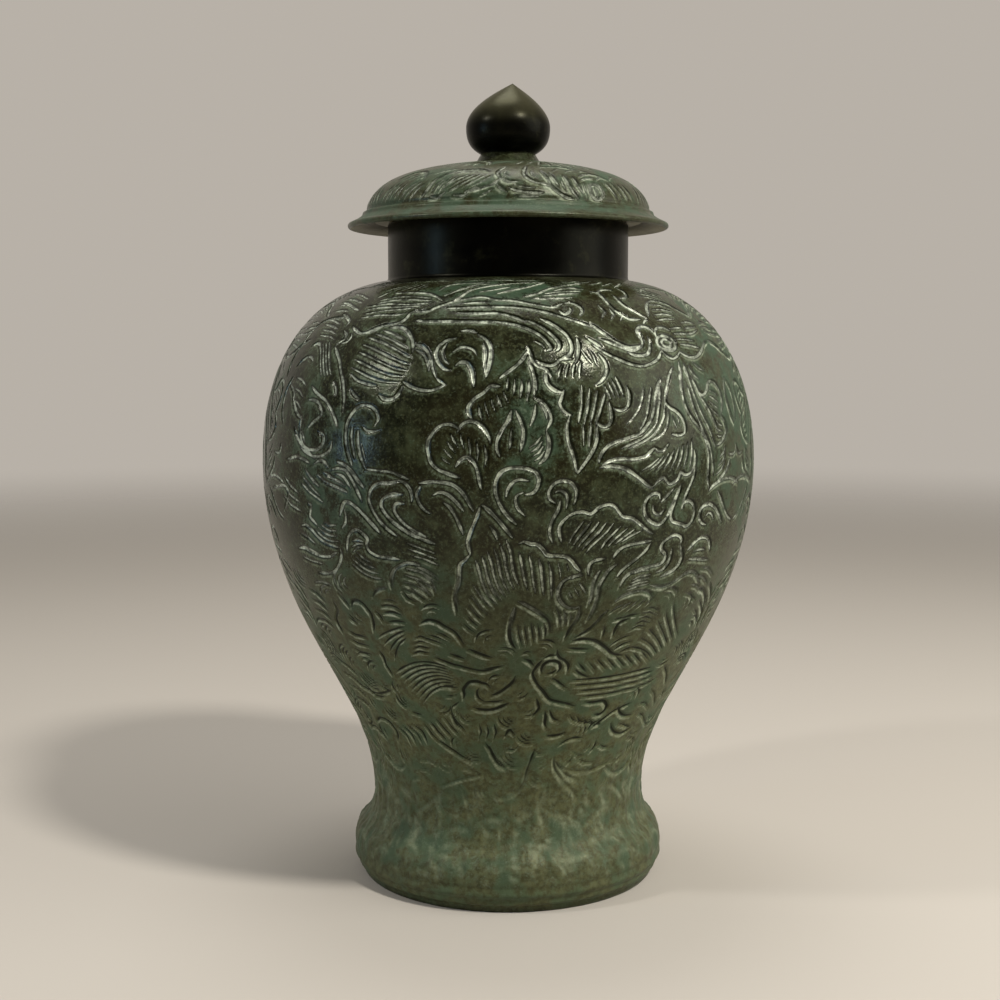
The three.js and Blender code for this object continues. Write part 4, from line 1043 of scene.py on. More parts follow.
class Drawing:
    """Strokes of one repeat of an ornament, in degrees round and mm up the surface."""

    motifs: tuple[tuple[list[Stroke], ...], ...] = ()

    def __init__(self) -> None:
        """Draws the motifs in order, and then what fills the ground between them."""
        self.strokes: list[Stroke] = []
        for motif in self.motifs:
            for strokes in motif:
                self.strokes.extend(strokes)
        self.fill()

    def fill(self) -> None:
        """Leaves the ground between the motifs bare; a drawing that fills it does so here."""


class JarOrnament(Drawing):
    """The leaves, curls and lotus of one third of the jar body."""

    motifs = (
        SHOULDER_SWEEPS, NECK_SPRAY, BUD, HOOKED_PAIR, LOBED_LEAF, SIDE_LEAF, LEFT_HOOK, WAVE_LEAF,
        PAIR_OF_CURLS, SCALLOPED_LEAF, CENTRE_SPRAY, CENTRE_CURLS, WAVY_LEAF, FLOWER, RIBBON_PETALS,
        RIGHT_CURLS, LOTUS, LOTUS_RIGHT, LEFT_SCROLLS, LOWER_LEFT, LOWER_RIGHT, LOWER_BAND, FOOT_SCROLLS,
    )
    mm_per_degree = 1.05
    half_repeat = 60.0
    lotus_foot = (3.0, 100.0)
    wing_rooms = (7.0, 5.4, 4.2, 3.2)
    wing_tries = 1800
    widest_wing = 9.0
    feather_gap = 1.9
    comma_room = 2.8
    comma_tries = 900

    def fill(self) -> None:
        """Fills the flank with wings and the foot with worn strokes."""
        self.fill_ground(42.0, 136.0)
        self.commas(13.0, 44.0)

    def wing(self, degree: float, height: float, size: float, heading: float) -> np.ndarray:
        """Feathers that lie one outside the other round a point.

        Args:
            degree: the point round the surface.
            height: the point up the surface.
            size: the reach of the outermost feather in mm.
            heading: the way that the feathers face, in radians.

        Returns:
            Degrees and mm of the points that it takes up.
        """
        taken = [np.array([[degree, height]])]
        count = max(2, round(size / self.feather_gap))
        for growth in np.linspace(0.45, 1.0, count):
            turn = heading + np.linspace(-1.0, 0.8, VEIN_POINTS) * (1.15 - 0.25 * growth)
            across = size * growth * np.cos(turn) / self.mm_per_degree
            feather = np.stack([degree + across, height + size * growth * np.sin(turn)], axis=1)
            self.strokes.extend(vein(*feather.ravel()))
            taken.append(feather)
        return np.concatenate(taken)

    def fill_ground(self, low: float, high: float) -> None:
        """Fills the bare ground of a band with wings that flow out from the foot of the lotus.

        Args:
            low: where the band starts up the surface.
            high: where it ends.
        """
        scale = np.array([self.mm_per_degree, 1.0])
        taken = np.concatenate([smooth(points, 4) for _, points in self.strokes]) * scale
        draws = np.random.default_rng(11)
        half = self.half_repeat
        centre, foot = self.lotus_foot
        for least in self.wing_rooms:
            for _ in range(self.wing_tries):
                degree, height = draws.uniform((-half, low), (half, high))
                flow = math.atan2(height - foot, (degree - centre) * self.mm_per_degree)
                heading = flow + draws.normal(0.0, 0.7)
                room = float(np.min(np.hypot(*(taken - scale * (degree, height)).T)))
                if room < least:
                    continue
                wing = self.wing(degree, height, min(0.95 * room, self.widest_wing), heading)
                taken = np.concatenate([taken, smooth(wing, 2) * scale])

    def commas(self, low: float, high: float) -> None:
        """Bends short worn strokes into the bare ground of the foot.

        Args:
            low: where the strokes start up the surface.
            high: where they end.
        """
        taken = np.concatenate([smooth(points, 4) for _, points in self.strokes])
        draws = np.random.default_rng(17)
        for _ in range(self.comma_tries):
            spot = draws.uniform((-self.half_repeat, low), (self.half_repeat, high))
            heading = draws.normal(0.6, 0.7) * draws.choice((-1.0, 1.0))
            half = draws.uniform(2.0, 3.6)
            if np.min(np.hypot(*(taken - spot).T)) < self.comma_room:
                continue
            along = np.array([math.cos(heading), math.sin(heading)])
            bend = half * draws.uniform(-0.6, 0.6) * np.array([-along[1], along[0]])
            comma = np.stack([spot - half * along, spot + bend, spot + half * along])
            self.strokes.extend(worn(*comma.ravel()))
            taken = np.concatenate([taken, smooth(comma, 4)])


class LidOrnament(Drawing):
    """The leaves and curls of one third of the lid's dome."""

    motifs = (LID_LEAF, LID_CURLS, LID_HANGING_LINES, LID_NICKS, LID_CROWN_LEAVES)


@dataclass(frozen=True)
class Sweep:
    """A smooth curve that leaves one point and arrives at another on set headings."""

    start: Point
    leave: float
    pull: float
    end: Point
    arrive: float
    push: float

    def points(self, count: int = 240) -> np.ndarray:
        """Points along the curve.

        Args:
            count: the number of points.

        Returns:
            Radius and height of each point in mm.
        """
        first = np.array(self.start)
        last = np.array(self.end)
        out = np.radians(self.leave)
        back = np.radians(self.arrive)
        second = first + self.pull * np.array([math.cos(out), math.sin(out)])
        third = last - self.push * np.array([math.cos(back), math.sin(back)])
        t = np.linspace(0.0, 1.0, count)[:, None]
        u = 1.0 - t
        return u**3 * first + 3 * u * u * t * second + 3 * u * t * t * third + t**3 * last


def arc(centre: Point, radius: float, first: float, last: float, count: int) -> np.ndarray:
    """Points of a round from one heading in degrees to another, as radius and height in mm."""
    turn = np.radians(np.linspace(first, last, count))
    return np.array(centre) + radius * np.stack([np.cos(turn), np.sin(turn)], axis=1)


class Outline:
    """An outline of a turned shape in mm, found by the length along it."""

    least_step = 1e-6

    def __init__(self, *parts: Any) -> None:
        """Joins parts of an outline.

        Args:
            parts: lists of radius and height, in order.
        """
        points = np.concatenate([np.reshape(part, (-1, 2)).astype(float) for part in parts])
        steps = np.hypot(*np.diff(points, axis=0).T)
        real = steps > self.least_step
        self.points = points[np.concatenate([[True], real])]
        self.lengths = np.concatenate([[0.0], np.cumsum(steps[real])])
        self.total = float(self.lengths[-1])

    def at(self, along: np.ndarray) -> np.ndarray:
        """Radius and height at lengths along the outline."""
        return np.stack([np.interp(along, self.lengths, self.points[:, k]) for k in (0, 1)], axis=1)

    def facing(self, along: np.ndarray, reach: float = 0.5) -> np.ndarray:
        """The outward direction at lengths along the outline.

        Args:
            along: the lengths in mm.
            reach: how far the outline is looked at on each side in mm.

        Returns:
            A direction for each length.
        """
        ahead = self.at(np.clip(along + reach, 0.0, self.total))
        behind = self.at(np.clip(along - reach, 0.0, self.total))
        heading = ahead - behind
        heading /= np.linalg.norm(heading, axis=1, keepdims=True)
        return np.stack([heading[:, 1], -heading[:, 0]], axis=1)


def smooth(points: np.ndarray, legs: int = 14) -> np.ndarray:
    """Rounds a run of points into a flowing line.

    Args:
        points: degrees and mm of each point.
        legs: the number of steps between two points.

    Returns:
        The points of the line.
    """
    padded = np.concatenate([2 * points[:1] - points[1:2], points, 2 * points[-1:] - points[-2:-1]])
    t = np.linspace(0.0, 1.0, legs, endpoint=False)[:, None]
    runs = []
    for k in range(len(points) - 1):
        a, b, c, d = padded[k : k + 4]
        bend = (2 * a - 5 * b + 4 * c - d) * t**2 + (3 * b - a - 3 * c + d) * t**3
        runs.append(0.5 * (2 * b + (c - a) * t + bend))
    return np.concatenate([*runs, points[-1:]])


def blurred(values: np.ndarray, rows: int, columns: int) -> np.ndarray:
    """Softens a field that runs round a ring.

    Args:
        values: rows by columns of numbers.
        rows: half the width of the softening over rows.
        columns: half the width of the softening over columns.

    Returns:
        The softened field.
    """
    soft = values
    for _ in range(BLUR_PASSES):
        wide = np.concatenate([soft[:, -columns:], soft, soft[:, :columns]], axis=1)
        total = np.cumsum(np.pad(wide, ((0, 0), (1, 0))), axis=1)
        soft = (total[:, 2 * columns + 1 :] - total[:, : -2 * columns - 1]) / (2 * columns + 1)
        tall = np.pad(soft, ((rows, rows), (0, 0)), mode="edge")
        total = np.cumsum(np.pad(tall, ((1, 0), (0, 0))), axis=0)
        soft = (total[2 * rows + 1 :] - total[: -2 * rows - 1]) / (2 * rows + 1)
    return soft


def graded(places: np.ndarray, stops: Stops) -> np.ndarray:
    """A column of numbers that change evenly from stop to stop, each a place and its number."""
    at, numbers = zip(*stops)
    return np.interp(places, at, numbers)[:, None]


def hump(places: np.ndarray, middle: float, width: float) -> np.ndarray:
    """A soft rise from 0 to 1 and back round a place."""
    return np.exp(-(((places - middle) / width) ** 2))


def ring_of(radius: np.ndarray, height: np.ndarray, angles: np.ndarray) -> np.ndarray:
    """Points round the axis, with angle 0 at the front and going to the right.

    Args:
        radius: radius of each row in mm, one for all columns or one each.
        height: height of each row in mm, in the same way.
        angles: degrees of each column.

    Returns:
        Rows by columns of points in metres.
    """
    turn = np.radians(angles)[None, :]
    x = radius * np.sin(turn)
    y = -radius * np.cos(turn)
    return np.stack([x, y, np.broadcast_to(height, x.shape)], axis=2) * MM


def normals_of(points: np.ndarray) -> np.ndarray:
    """Outward directions of a worked surface.

    Args:
        points: rows by columns of points.

    Returns:
        Rows by columns of directions.
    """
    across = np.roll(points, -1, axis=1) - np.roll(points, 1, axis=1)
    up = np.gradient(points, axis=0)
    facing = np.cross(across, up)
    return facing / np.maximum(np.linalg.norm(facing, axis=2, keepdims=True), 1e-12)


@dataclass(frozen=True)
class Bloom:
    """A patch of bloom, dirt or wear, or of less of it where its amount is below zero."""

    degree: float
    height: float
    across: float
    up: float
    amount: float

    def over(self, angles: np.ndarray, heights: np.ndarray) -> np.ndarray:
        """The patch as a field over rows and columns.

        Args:
            angles: degrees of each column.
            heights: mm up the surface of each row.

        Returns:
            Rows by columns of numbers.
        """
        turn = (angles - self.degree + 180.0) % 360.0 - 180.0
        wide = hump(turn, 0.0, self.across)[None, :]
        tall = hump(heights, self.height, self.up)[:, None]
        return self.amount * wide * tall


class Relief:
    """Chasing on a turned surface, held as fields over rows and columns."""

    mirrored_copy = 1
    path_step = 0.25
    end_press = 0.30
    end_length = 3.6
    least_radius = 20.0
    hollow = 1.35
    lip_rise = 0.35
    lean = 2

    def __init__(self, outline: Outline, rows: np.ndarray, columns: int, origin: float = 0.0) -> None:
        """Lays out an untouched surface.

        Args:
            outline: the outline that the surface is turned from.
            rows: length along the outline of each row in mm.
            columns: the number of columns round the surface.
            origin: length along the outline where the drawing's heights start.
        """
        self.angles = np.linspace(-180.0, 180.0, columns, endpoint=False)
        self.heights = rows - origin
        self.spot = outline.at(rows)
        self.facing = outline.facing(rows)
        self.hand = np.random.default_rng(5)
        self.cut = np.zeros((len(rows), columns))
        self.fill = np.zeros((len(rows), columns))
        self.lift = np.zeros((len(rows), columns))

    def chase(self, drawing: Drawing, repeats: int = 3) -> None:
        """Cuts a drawing all round the surface.

        Args:
            drawing: the strokes of one repeat.
            repeats: the number of repeats round the surface.
        """
        for copy in range(repeats):
            turn = 360.0 / repeats * copy
            side = -1.0 if copy == self.mirrored_copy else 1.0
            for chisel, points in drawing.strokes:
                self.groove(chisel, points * (side, 1.0) + (turn, 0.0))

    def groove(self, chisel: Chisel, points: np.ndarray) -> None:
        """Cuts one stroke with an unsteady hand, shallower at its ends.

        Args:
            chisel: the tool.
            points: degrees and mm along the stroke.
        """
        path = smooth(points)
        radius = np.interp(path[:, 1], self.heights, self.spot[:, 0])
        scale = np.stack([np.radians(radius), np.ones(len(path))], axis=1)
        steps = np.hypot(*(np.diff(path, axis=0) * scale[1:]).T)
        along = np.concatenate([[0.0], np.cumsum(steps)])
        count = max(3, int(along[-1] / self.path_step))
        places = np.linspace(0.0, along[-1], count)
        path = np.stack([np.interp(places, along, path[:, k]) for k in (0, 1)], axis=1)
        taper = np.ones(count)
        if not np.allclose(points[0], points[-1]):
            ends = np.minimum(places, along[-1] - places)
            taper = np.clip(self.end_press + ends / self.end_length, 0.0, 1.0)
        long, short = self.hand.uniform(0.0, 2.0 * math.pi, 2)
        waver = 0.84 + 0.11 * np.sin(places / 2.7 + long) + 0.07 * np.sin(places / 1.1 + short)
        self.press(chisel, path, taper * waver * self.hand.uniform(0.82, 1.06))

    def press(self, chisel: Chisel, path: np.ndarray, press: np.ndarray) -> None:
        """Sinks the tool at every point of a path.

        Args:
            chisel: the tool.
            path: degrees and mm of each point.
            press: how hard the tool is pressed, from 0 to 1.
        """
        columns = len(self.angles)
        step = 360.0 / columns
        row = np.clip(np.searchsorted(self.heights, path[:, 1]), 1, len(self.heights) - 2)
        column = np.round((path[:, 0] + 180.0) / step).astype(int)
        reach = chisel.half_width
        gap = float(np.median(np.diff(self.heights)))
        up = int(reach / gap) + 1
        radius = self.spot[row, 0]
        least = max(self.least_radius, float(radius.min()))
        across = int(reach / (np.radians(step) * least)) + 1
        ups, acrosses = np.meshgrid(np.arange(-up, up + 1), np.arange(-across, across + 1))
        rows = np.clip(row[:, None] + ups.ravel(), 0, len(self.heights) - 1)
        around = column[:, None] + acrosses.ravel()
        rise = self.heights[rows] - path[:, 1:2]
        slip = np.radians(around * step - 180.0 - path[:, :1]) * radius[:, None]
        share = np.sqrt(rise**2 + slip**2) / (reach * (0.45 + 0.55 * press[:, None]))
        bite = np.clip(1.0 - share**self.hollow, 0.0, 1.0)
        np.maximum.at(self.cut, (rows, around % columns), bite * press[:, None] * chisel.depth)
        np.maximum.at(self.fill, (rows, around % columns), bite * (0.5 + 0.5 * press[:, None]))

    def lips(self, crowd: np.ndarray) -> np.ndarray:
        """How far the metal pushed aside by cuts stands out in mm, less where they crowd."""
        return self.lip_rise * (blurred(self.cut, 1, 1) - 1.2 * crowd)

    def lit_lips_and_deposit(self, reach: float = 0.9) -> np.ndarray:
        """How much pale deposit lies round each cut, and how much painted highlight lies on the lip below
        it.

        Args:
            reach: the width of the lip in mm.

        Returns:
            Rows by columns from 0 to 1.
        """
        last = len(self.heights) - 1
        above = np.minimum(np.searchsorted(self.heights, self.heights + reach), last)
        lip = np.roll(self.fill[above], -self.lean, axis=1) - self.fill
        return np.clip(np.maximum(1.2 * blurred(self.fill, 3, 3), lip), 0.0, 1.0)

    def shaded(self, reach: float = 0.8) -> np.ndarray:
        """How dark the bare side above each cut is, from 0 to 1, for a side of that width in mm."""
        below = np.searchsorted(self.heights, self.heights - reach)
        return np.clip(np.roll(self.fill[below], self.lean, axis=1) - self.fill, 0.0, 1.0)

    def patched(self, values: np.ndarray, patches: tuple[Bloom, ...]) -> np.ndarray:
        """Adds patches to a field, one after the other.

        Args:
            values: rows by columns of numbers.
            patches: the patches.

        Returns:
            The new field.
        """
        for patch in patches:
            values = values + patch.over(self.angles, self.heights)
        return values

    def points(self) -> np.ndarray:
        """The worked surface.

        Returns:
            Rows by columns of points in metres.
        """
        depth = self.lift - self.cut
        radius = self.spot[:, :1] + self.facing[:, :1] * depth
        height = self.spot[:, 1:] + self.facing[:, 1:] * depth
        return ring_of(radius, height, self.angles)


def clear_selection() -> None:
    """Leaves nothing selected, so that an operator acts on its own piece."""
    bpy.ops.object.select_all(action="DESELECT")


def paint(piece: bpy.types.Object, name: str, values: np.ndarray) -> None:
    """Puts a named number on every vertex of a piece."""
    layer = piece.data.attributes.new(name, "FLOAT", "POINT")
    layer.data.foreach_set("value", values.astype(np.float32).ravel())


@dataclass
class RolledSheet:
    """A fine sheet that is worked flat, rolled into a ring and closed."""

    name: str
    face: np.ndarray
    facing: np.ndarray
    back: np.ndarray
    marks: dict[str, np.ndarray]
    seam: float = 1e-7

    def build(self) -> bpy.types.Object:
        """Rolls the sheet and closes its seams.

        Returns:
            The piece, with its front in material 0 and its back in material 1.
        """
        rows, columns = self.face.shape[:2]
        whole = self.wrapped(np.concatenate([self.face, self.back]))
        clear_selection()
        bpy.ops.mesh.primitive_grid_add(x_subdivisions=columns, y_subdivisions=len(whole) - 1)
        piece = bpy.context.object
        piece.name = self.name
        piece.data.name = self.name
        piece.data.uv_layers[0].name = "OFBake"
        piece.data.vertices.foreach_set("co", whole.astype(np.float32).ravel())
        back = np.arange(len(piece.data.polygons)) >= (rows - 1) * columns
        for name, values in self.marks.items():
            paint(piece, name, self.wrapped(self.with_back(values)))
        lie = self.wrapped(self.with_back(self.facing))
        for axis in range(3):
            paint(piece, f"lie_{axis}", lie[..., axis])
        bpy.ops.object.mode_set(mode="EDIT")
        bpy.ops.mesh.select_all(action="SELECT")
        bpy.ops.mesh.remove_doubles(threshold=self.seam)
        bpy.ops.object.mode_set(mode="OBJECT")
        if len(piece.data.polygons) != len(back):
            raise RuntimeError(f"{self.name} lost faces at its seam")
        self.settle(piece, back)
        return piece

    def with_back(self, values: np.ndarray) -> np.ndarray:
        """Adds zeros for the rows of the back."""
        return np.concatenate([values, np.zeros((len(self.back), *values.shape[1:]))])

    def wrapped(self, values: np.ndarray) -> np.ndarray:
        """Repeats the first column and the first row at the far sides."""
        wide = np.concatenate([values, values[:, :1]], axis=1)
        return np.concatenate([wide, wide[:1]])

    def settle(self, piece: bpy.types.Object, back: np.ndarray) -> None:
        """Gives the front its own smooth directions and the back its material.

        Args:
            piece: the rolled piece.
            back: whether each face is on the back.
        """
        mesh = piece.data
        bpy.ops.object.shade_smooth()
        lie = np.zeros((len(mesh.vertices), 3), dtype=np.float32)
        for axis in range(3):
            layer = mesh.attributes[f"lie_{axis}"]
            column = np.zeros(len(mesh.vertices), dtype=np.float32)
            layer.data.foreach_get("value", column)
            lie[:, axis] = column
            mesh.attributes.remove(layer)
        mesh.normals_split_custom_set_from_vertices(lie.tolist())
        mesh.polygons.foreach_set("material_index", back.astype(np.int32))


@dataclass
class Turning:
    """A plain piece turned from an outline in mm, ring by ring."""

    name: str
    outline: np.ndarray
    segments: int = 160
    soften: float = 0.25
    corner: float = math.radians(32.0)
    axis: float = 1e-6
    seam: float = 2e-6

    def build(self) -> bpy.types.Object:
        """Turns the piece, softens its corners and smooths it.

        Returns:
            The piece.
        """
        clear_selection()
        radius, height = (float(number) * MM for number in self.outline[0])
        bpy.ops.mesh.primitive_circle_add(
            vertices=self.segments, radius=radius, location=(0.0, 0.0, height)
        )
        bpy.ops.object.transform_apply(location=True, rotation=True, scale=True)
        piece = bpy.context.object
        piece.name = self.name
        piece.data.name = self.name
        bpy.ops.object.mode_set(mode="EDIT")
        bpy.ops.mesh.select_all(action="SELECT")
        for here, there in zip(self.outline[:-1], self.outline[1:]):
            rise = float(there[1] - here[1]) * MM
            bpy.ops.mesh.extrude_region_move(TRANSFORM_OT_translate={"value": (0.0, 0.0, rise)})
            if there[0] < self.axis:
                bpy.ops.mesh.merge(type="CENTER")
                break
            growth = float(there[0] / here[0])
            bpy.ops.transform.resize(value=(growth, growth, 1.0), center_override=(0.0, 0.0, 0.0))
        bpy.ops.mesh.select_all(action="SELECT")
        bpy.ops.mesh.remove_doubles(threshold=self.seam)
        bpy.ops.mesh.fill_holes(sides=self.segments)
        bpy.ops.mesh.select_all(action="SELECT")
        bpy.ops.mesh.normals_make_consistent(inside=False)
        bpy.ops.object.mode_set(mode="OBJECT")
        self.finish(piece)
        return piece

    def finish(self, piece: bpy.types.Object) -> None:
        """Rounds the sharp corners and smooths the rest.

        Args:
            piece: the turned piece.
        """
        bevel = piece.modifiers.new("corners", "BEVEL")
        bevel.width = self.soften * MM
        bevel.segments = 3
        bevel.limit_method = "ANGLE"
        bevel.angle_limit = self.corner
        bpy.ops.object.modifier_apply(modifier=bevel.name)
        bpy.ops.object.shade_smooth_by_angle(angle=SMOOTH_ANGLE)


@dataclass
class Finishes:
    """Every finish, made once."""

    chased: bpy.types.Material = field(default_factory=ChasedFinish().material)
    dark: bpy.types.Material = field(default_factory=DarkFinish().material)
    # The knob's finish: lighter and more metallic at its top, partly wear and partly a painted sheen.
    top_sheen_and_wear: bpy.types.Material = field(
        default_factory=DarkFinish("dark_bronze_handled", lighter_from=0.2875, lighter_to=0.297).material
    )
    raw: bpy.types.Material = field(default_factory=RawFinish().material)
    brass: bpy.types.Material = field(default_factory=BrassFinish().material)


def dress(
    piece: bpy.types.Object, body: Body, node: str, slot: Slot, *materials: bpy.types.Material
) -> None:
    """Gives a piece its body and its finish, and hides the node that it stands for.

    Args:
        piece: the piece.
        body: the body that it rides on.
        node: the solid that it replaces.
        slot: the record's finish; not used.
        materials: the piece's materials in order.
    """
    for material in materials:
        piece.data.materials.append(material)
    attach(piece, body.value)
    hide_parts(node)
    LOG.info("%s: %d faces on %s", piece.name, len(piece.data.polygons), body.value)


@dataclass
class Assembly:
    """A sub-assembly whose sizes are in mm, dressed with the shared finishes."""

    finishes: Finishes

    def build(self) -> None:
        """Makes and dresses every piece."""
        raise NotImplementedError


@dataclass
class JarBody(Assembly):
    """The chased body, from the foot to the seat of the neck.

    Bands give a name, a start along the outline and a gap between rows. Stops give a length along
    the outline and a share there.
    """

    base_radius: float = 57.4
    foot_radius: float = 60.6
    foot_height: float = 11.0
    ledge: Point = (56.4, 21.5)
    waist_radius: float = 52.9
    belly_radius: float = 94.8
    mouth_radius: float = 48.4
    bore_radius: float = 45.2
    waist_height: float = 33.0
    belly_height: float = 162.0
    top_height: float = 230.0
    wall: float = 3.2
    under_foot: tuple[Point, ...] = ((49.7, 21.0), (49.7, 9.0), (53.0, 9.0), (53.0, 0.0))
    beads: tuple[float, ...] = (4.2, 8.0)
    border: float = 10.6
    end_fade: float = 4.0
    columns: int = 1280
    bands: tuple[tuple[str, float, float], ...] = (
        ("body_foot", 0.0, 0.68),
        ("body_waist", 47.5, 0.68),
        ("body_low_flank", 95.0, 0.42),
        ("body_flank", 123.0, 0.42),
        ("body_belly", 151.0, 0.42),
        ("body_high_belly", 179.0, 0.42),
        ("body_shoulder", 207.0, 0.42),
        ("body_crown", 235.0, 0.42),
    )
    depth_left: Stops = ((0, 0.3), (36, 0.5), (60, 0.95), (90, 1.05))
    lumps_left: Stops = ((10, 0), (16, 1), (60, 0.8), (90, 0))
    dirt_kept: Stops = ((60, 0.15), (95, 0.4), (128, 1))
    cuts_filled: Stops = ((0, 0.1), (34, 0.14), (48, 0.45), (70, 1))
    lips_pale: Stops = ((0, 0.84), (40, 0.96), (62, 1))
    lips_soft: Stops = ((40, 1), (60, 0))
    sides_dark: Stops = ((40, 0), (80, 1))
    # Share of the lighter worn colour by height: wear, and painted reflection of the pale floor on the
    # lower body and foot, with the very bottom edge darker.
    wear_and_sheen: Stops = (
        (0.8, 0.3), (3, 0.9), (12.5, 0.74), (40, 0.76), (62, 0.88),
        (80, 0.9), (100, 0.74), (122, 0.4), (150, 0.05),
    )
    # Patches added to the worn share; the one at 70 degrees lightens the right side as a painted sheen.
    haze: tuple[Bloom, ...] = (
        Bloom(70, 200, 26, 70, 0.34),
        Bloom(-24, 122, 16, 20, 0.2),
    )
    blooms: tuple[Bloom, ...] = (
        Bloom(0, 26, 400, 14, 0.25),
        Bloom(-10, 246, 30, 12, 0.22),
        Bloom(-14, 194, 16, 16, -0.2),
        Bloom(-45, 180, 22, 34, 0.15),
        Bloom(4, 191, 9, 15, 0.45),
        Bloom(3, 246, 14, 9, 0.25),
        Bloom(-43, 162, 11, 15, 0.3),
        Bloom(-28, 126, 20, 20, 0.28),
        Bloom(0, 80, 400, 36, 0.12),
        Bloom(22, 226, 30, 12, -0.15),
        # The patches at 68 and -82 degrees green the right and left edges: partly patina, partly a painted
        # sheen of the grazing edges.
        Bloom(68, 204, 22, 50, 0.5),
        Bloom(-82, 190, 20, 60, 0.15),
    )
    verdigris: tuple[Bloom, ...] = (
        Bloom(-29, 213, 12, 14, -0.35),
        Bloom(33, 190, 11, 22, -0.1),
        Bloom(17, 204, 8, 12, 0.4),
    )

    def outline(self) -> Outline:
        """The outside of the body from the floor to the neck.

        Returns:
            The outline.
        """
        foot = (self.foot_radius, self.foot_height)
        waist = (self.waist_radius, self.waist_height)
        belly = (self.belly_radius, self.belly_height)
        mouth = (self.mouth_radius, self.top_height)
        return Outline(
            [(self.base_radius, 0.0)],
            Sweep((self.base_radius, 2.4), 45, 1.6, foot, 90, 4.3).points(),
            Sweep(foot, 90, 6, self.ledge, 135, 3.2).points(),
            Sweep(self.ledge, 135, 3.2, waist, 90, 5).points(),
            Sweep(waist, 90, 39, belly, 90, 61).points(),
            Sweep(belly, 90, 31, mouth, 170, 34).points(),
        )

    def lining(self, outline: Outline, low: float, high: float) -> np.ndarray:
        """The inside of one band, from its top to its bottom.

        Args:
            outline: the outside.
            low: where the band starts along the outline.
            high: where it ends.

        Returns:
            Radius and height of each row in mm.
        """
        along = np.linspace(high, low, 5)
        inside = outline.at(along) - self.wall * outline.facing(along)
        if high > outline.total - 0.01:
            bottom = self.top_height - self.wall - 0.05
            bore = [(self.bore_radius, self.top_height), (self.bore_radius, bottom)]
            return np.concatenate([bore, inside[1:]])
        if low < 0.01:
            return np.concatenate([inside[:1], self.under_foot])
        return inside

    def rows(self, total: float) -> tuple[np.ndarray, list[int]]:
        """Rows of the whole body, finer where the chasing is fine.

        Args:
            total: the length of the outline.

        Returns:
            The place of each row, and the row where each band starts and the last ends.
        """
        starts = [low for _, low, _ in self.bands] + [total]
        places = [np.array([0.0])]
        seams = [0]
        for (_, low, step), high in zip(self.bands, starts[1:]):
            run = np.linspace(low, high, int(math.ceil((high - low) / step)) + 1)[1:]
            places.append(run)
            seams.append(seams[-1] + len(run))
        return np.concatenate(places), seams

    def unevenness(self, relief: Relief) -> np.ndarray:
        """The slight waviness of a hand-finished casting.

        Args:
            relief: the surface.

        Returns:
            Rows by columns in mm.
        """
        turn = np.radians(relief.angles)[None, :]
        rise = relief.heights[:, None]
        waves = np.sin(3 * turn + rise / 17.0) + 0.7 * np.sin(7 * turn - rise / 11.0 + 1.3)
        ripple = 0.5 * np.sin(13 * turn + rise / 6.1 + 0.4) + 0.4 * np.sin(21 * turn - rise / 4.3)
        return 0.05 * (waves + ripple)

    def wear(self, relief: Relief) -> np.ndarray:
        """The lumps in mm that are left of the worn ornament near the foot."""
        lumps = blurred(np.random.default_rng(3).normal(size=relief.cut.shape), 4, 3)
        return 0.16 * graded(relief.heights, self.lumps_left) * lumps / lumps.std()

    def lift(self, relief: Relief, crowd: np.ndarray, total: float) -> np.ndarray:
        """How far the surface stands out between the cuts.

        Args:
            relief: the chased surface.
            crowd: how much is cut away round each point.
            total: the length of the outline.

        Returns:
            Rows by columns in mm.
        """
        places = relief.heights
        first = np.clip(places / self.end_fade, 0.0, 1.0)
        last = np.clip((total - places) / self.end_fade, 0.0, 1.0)
        lift = (self.unevenness(relief) + relief.lips(crowd)) * (first * last)[:, None]
        lift += self.wear(relief)
        sunk = 0.3 * hump(places, self.border, 0.7)
        for bead in self.beads:
            sunk -= 0.6 * hump(places, bead, 1.1)
        hem = 0.6 * np.clip(1.0 - places / 0.8, 0.0, 1.0) ** 2
        return lift - (sunk + hem)[:, None]

    def marks(self, relief: Relief, crowd: np.ndarray) -> dict[str, np.ndarray]:
        """What the finish reads from the surface.

        Args:
            relief: the chased surface.
            crowd: how much is cut away round each point.

        Returns:
            Rows by columns from about 0 to 1, by name.
        """
        places = relief.heights
        kept = graded(places, self.dirt_kept) * np.ones_like(relief.cut)
        haze = relief.patched(np.zeros_like(relief.cut), self.haze)
        # Pale deposit round each cut with a painted highlight on the lip below it, and painted shade on
        # the side above it.
        near = relief.lit_lips_and_deposit() * graded(places, self.lips_pale)
        return {
            "fill": relief.fill * graded(places, self.cuts_filled),
            "kept": relief.patched(kept, self.verdigris),
            "worn": np.clip(graded(places, self.wear_and_sheen) + haze, 0.0, 1.0),
            "bloom": relief.patched(0.20 + 0.9 * crowd, self.blooms),
            "near": near + (blurred(near, 1, 1) - near) * graded(places, self.lips_soft),
            "shade": relief.shaded() * graded(places, self.sides_dark),
        }

    def build(self) -> None:
        """Chases the body and makes its bands."""
        finishes = self.finishes
        outline = self.outline()
        places, seams = self.rows(outline.total)
        relief = Relief(outline, places, self.columns)
        relief.chase(JarOrnament())
        relief.cut *= graded(places, self.depth_left)
        crowd = blurred(relief.cut, 6, 6)
        relief.lift = self.lift(relief, crowd, outline.total)
        face = relief.points()
        facing = normals_of(face)
        marks = self.marks(relief, crowd)
        for (name, _, _), low, high in zip(self.bands, seams[:-1], seams[1:]):
            span = slice(low, high + 1)
            back = self.lining(outline, places[low], places[high])
            sheet = RolledSheet(
                name,
                face[span],
                facing[span],
                ring_of(back[:, :1], back[:, 1:], relief.angles),
                {mark: values[span] for mark, values in marks.items()},
            )
            dress(sheet.build(), Body.JAR, "jar_body", Slot.CHASED, finishes.chased, finishes.raw)


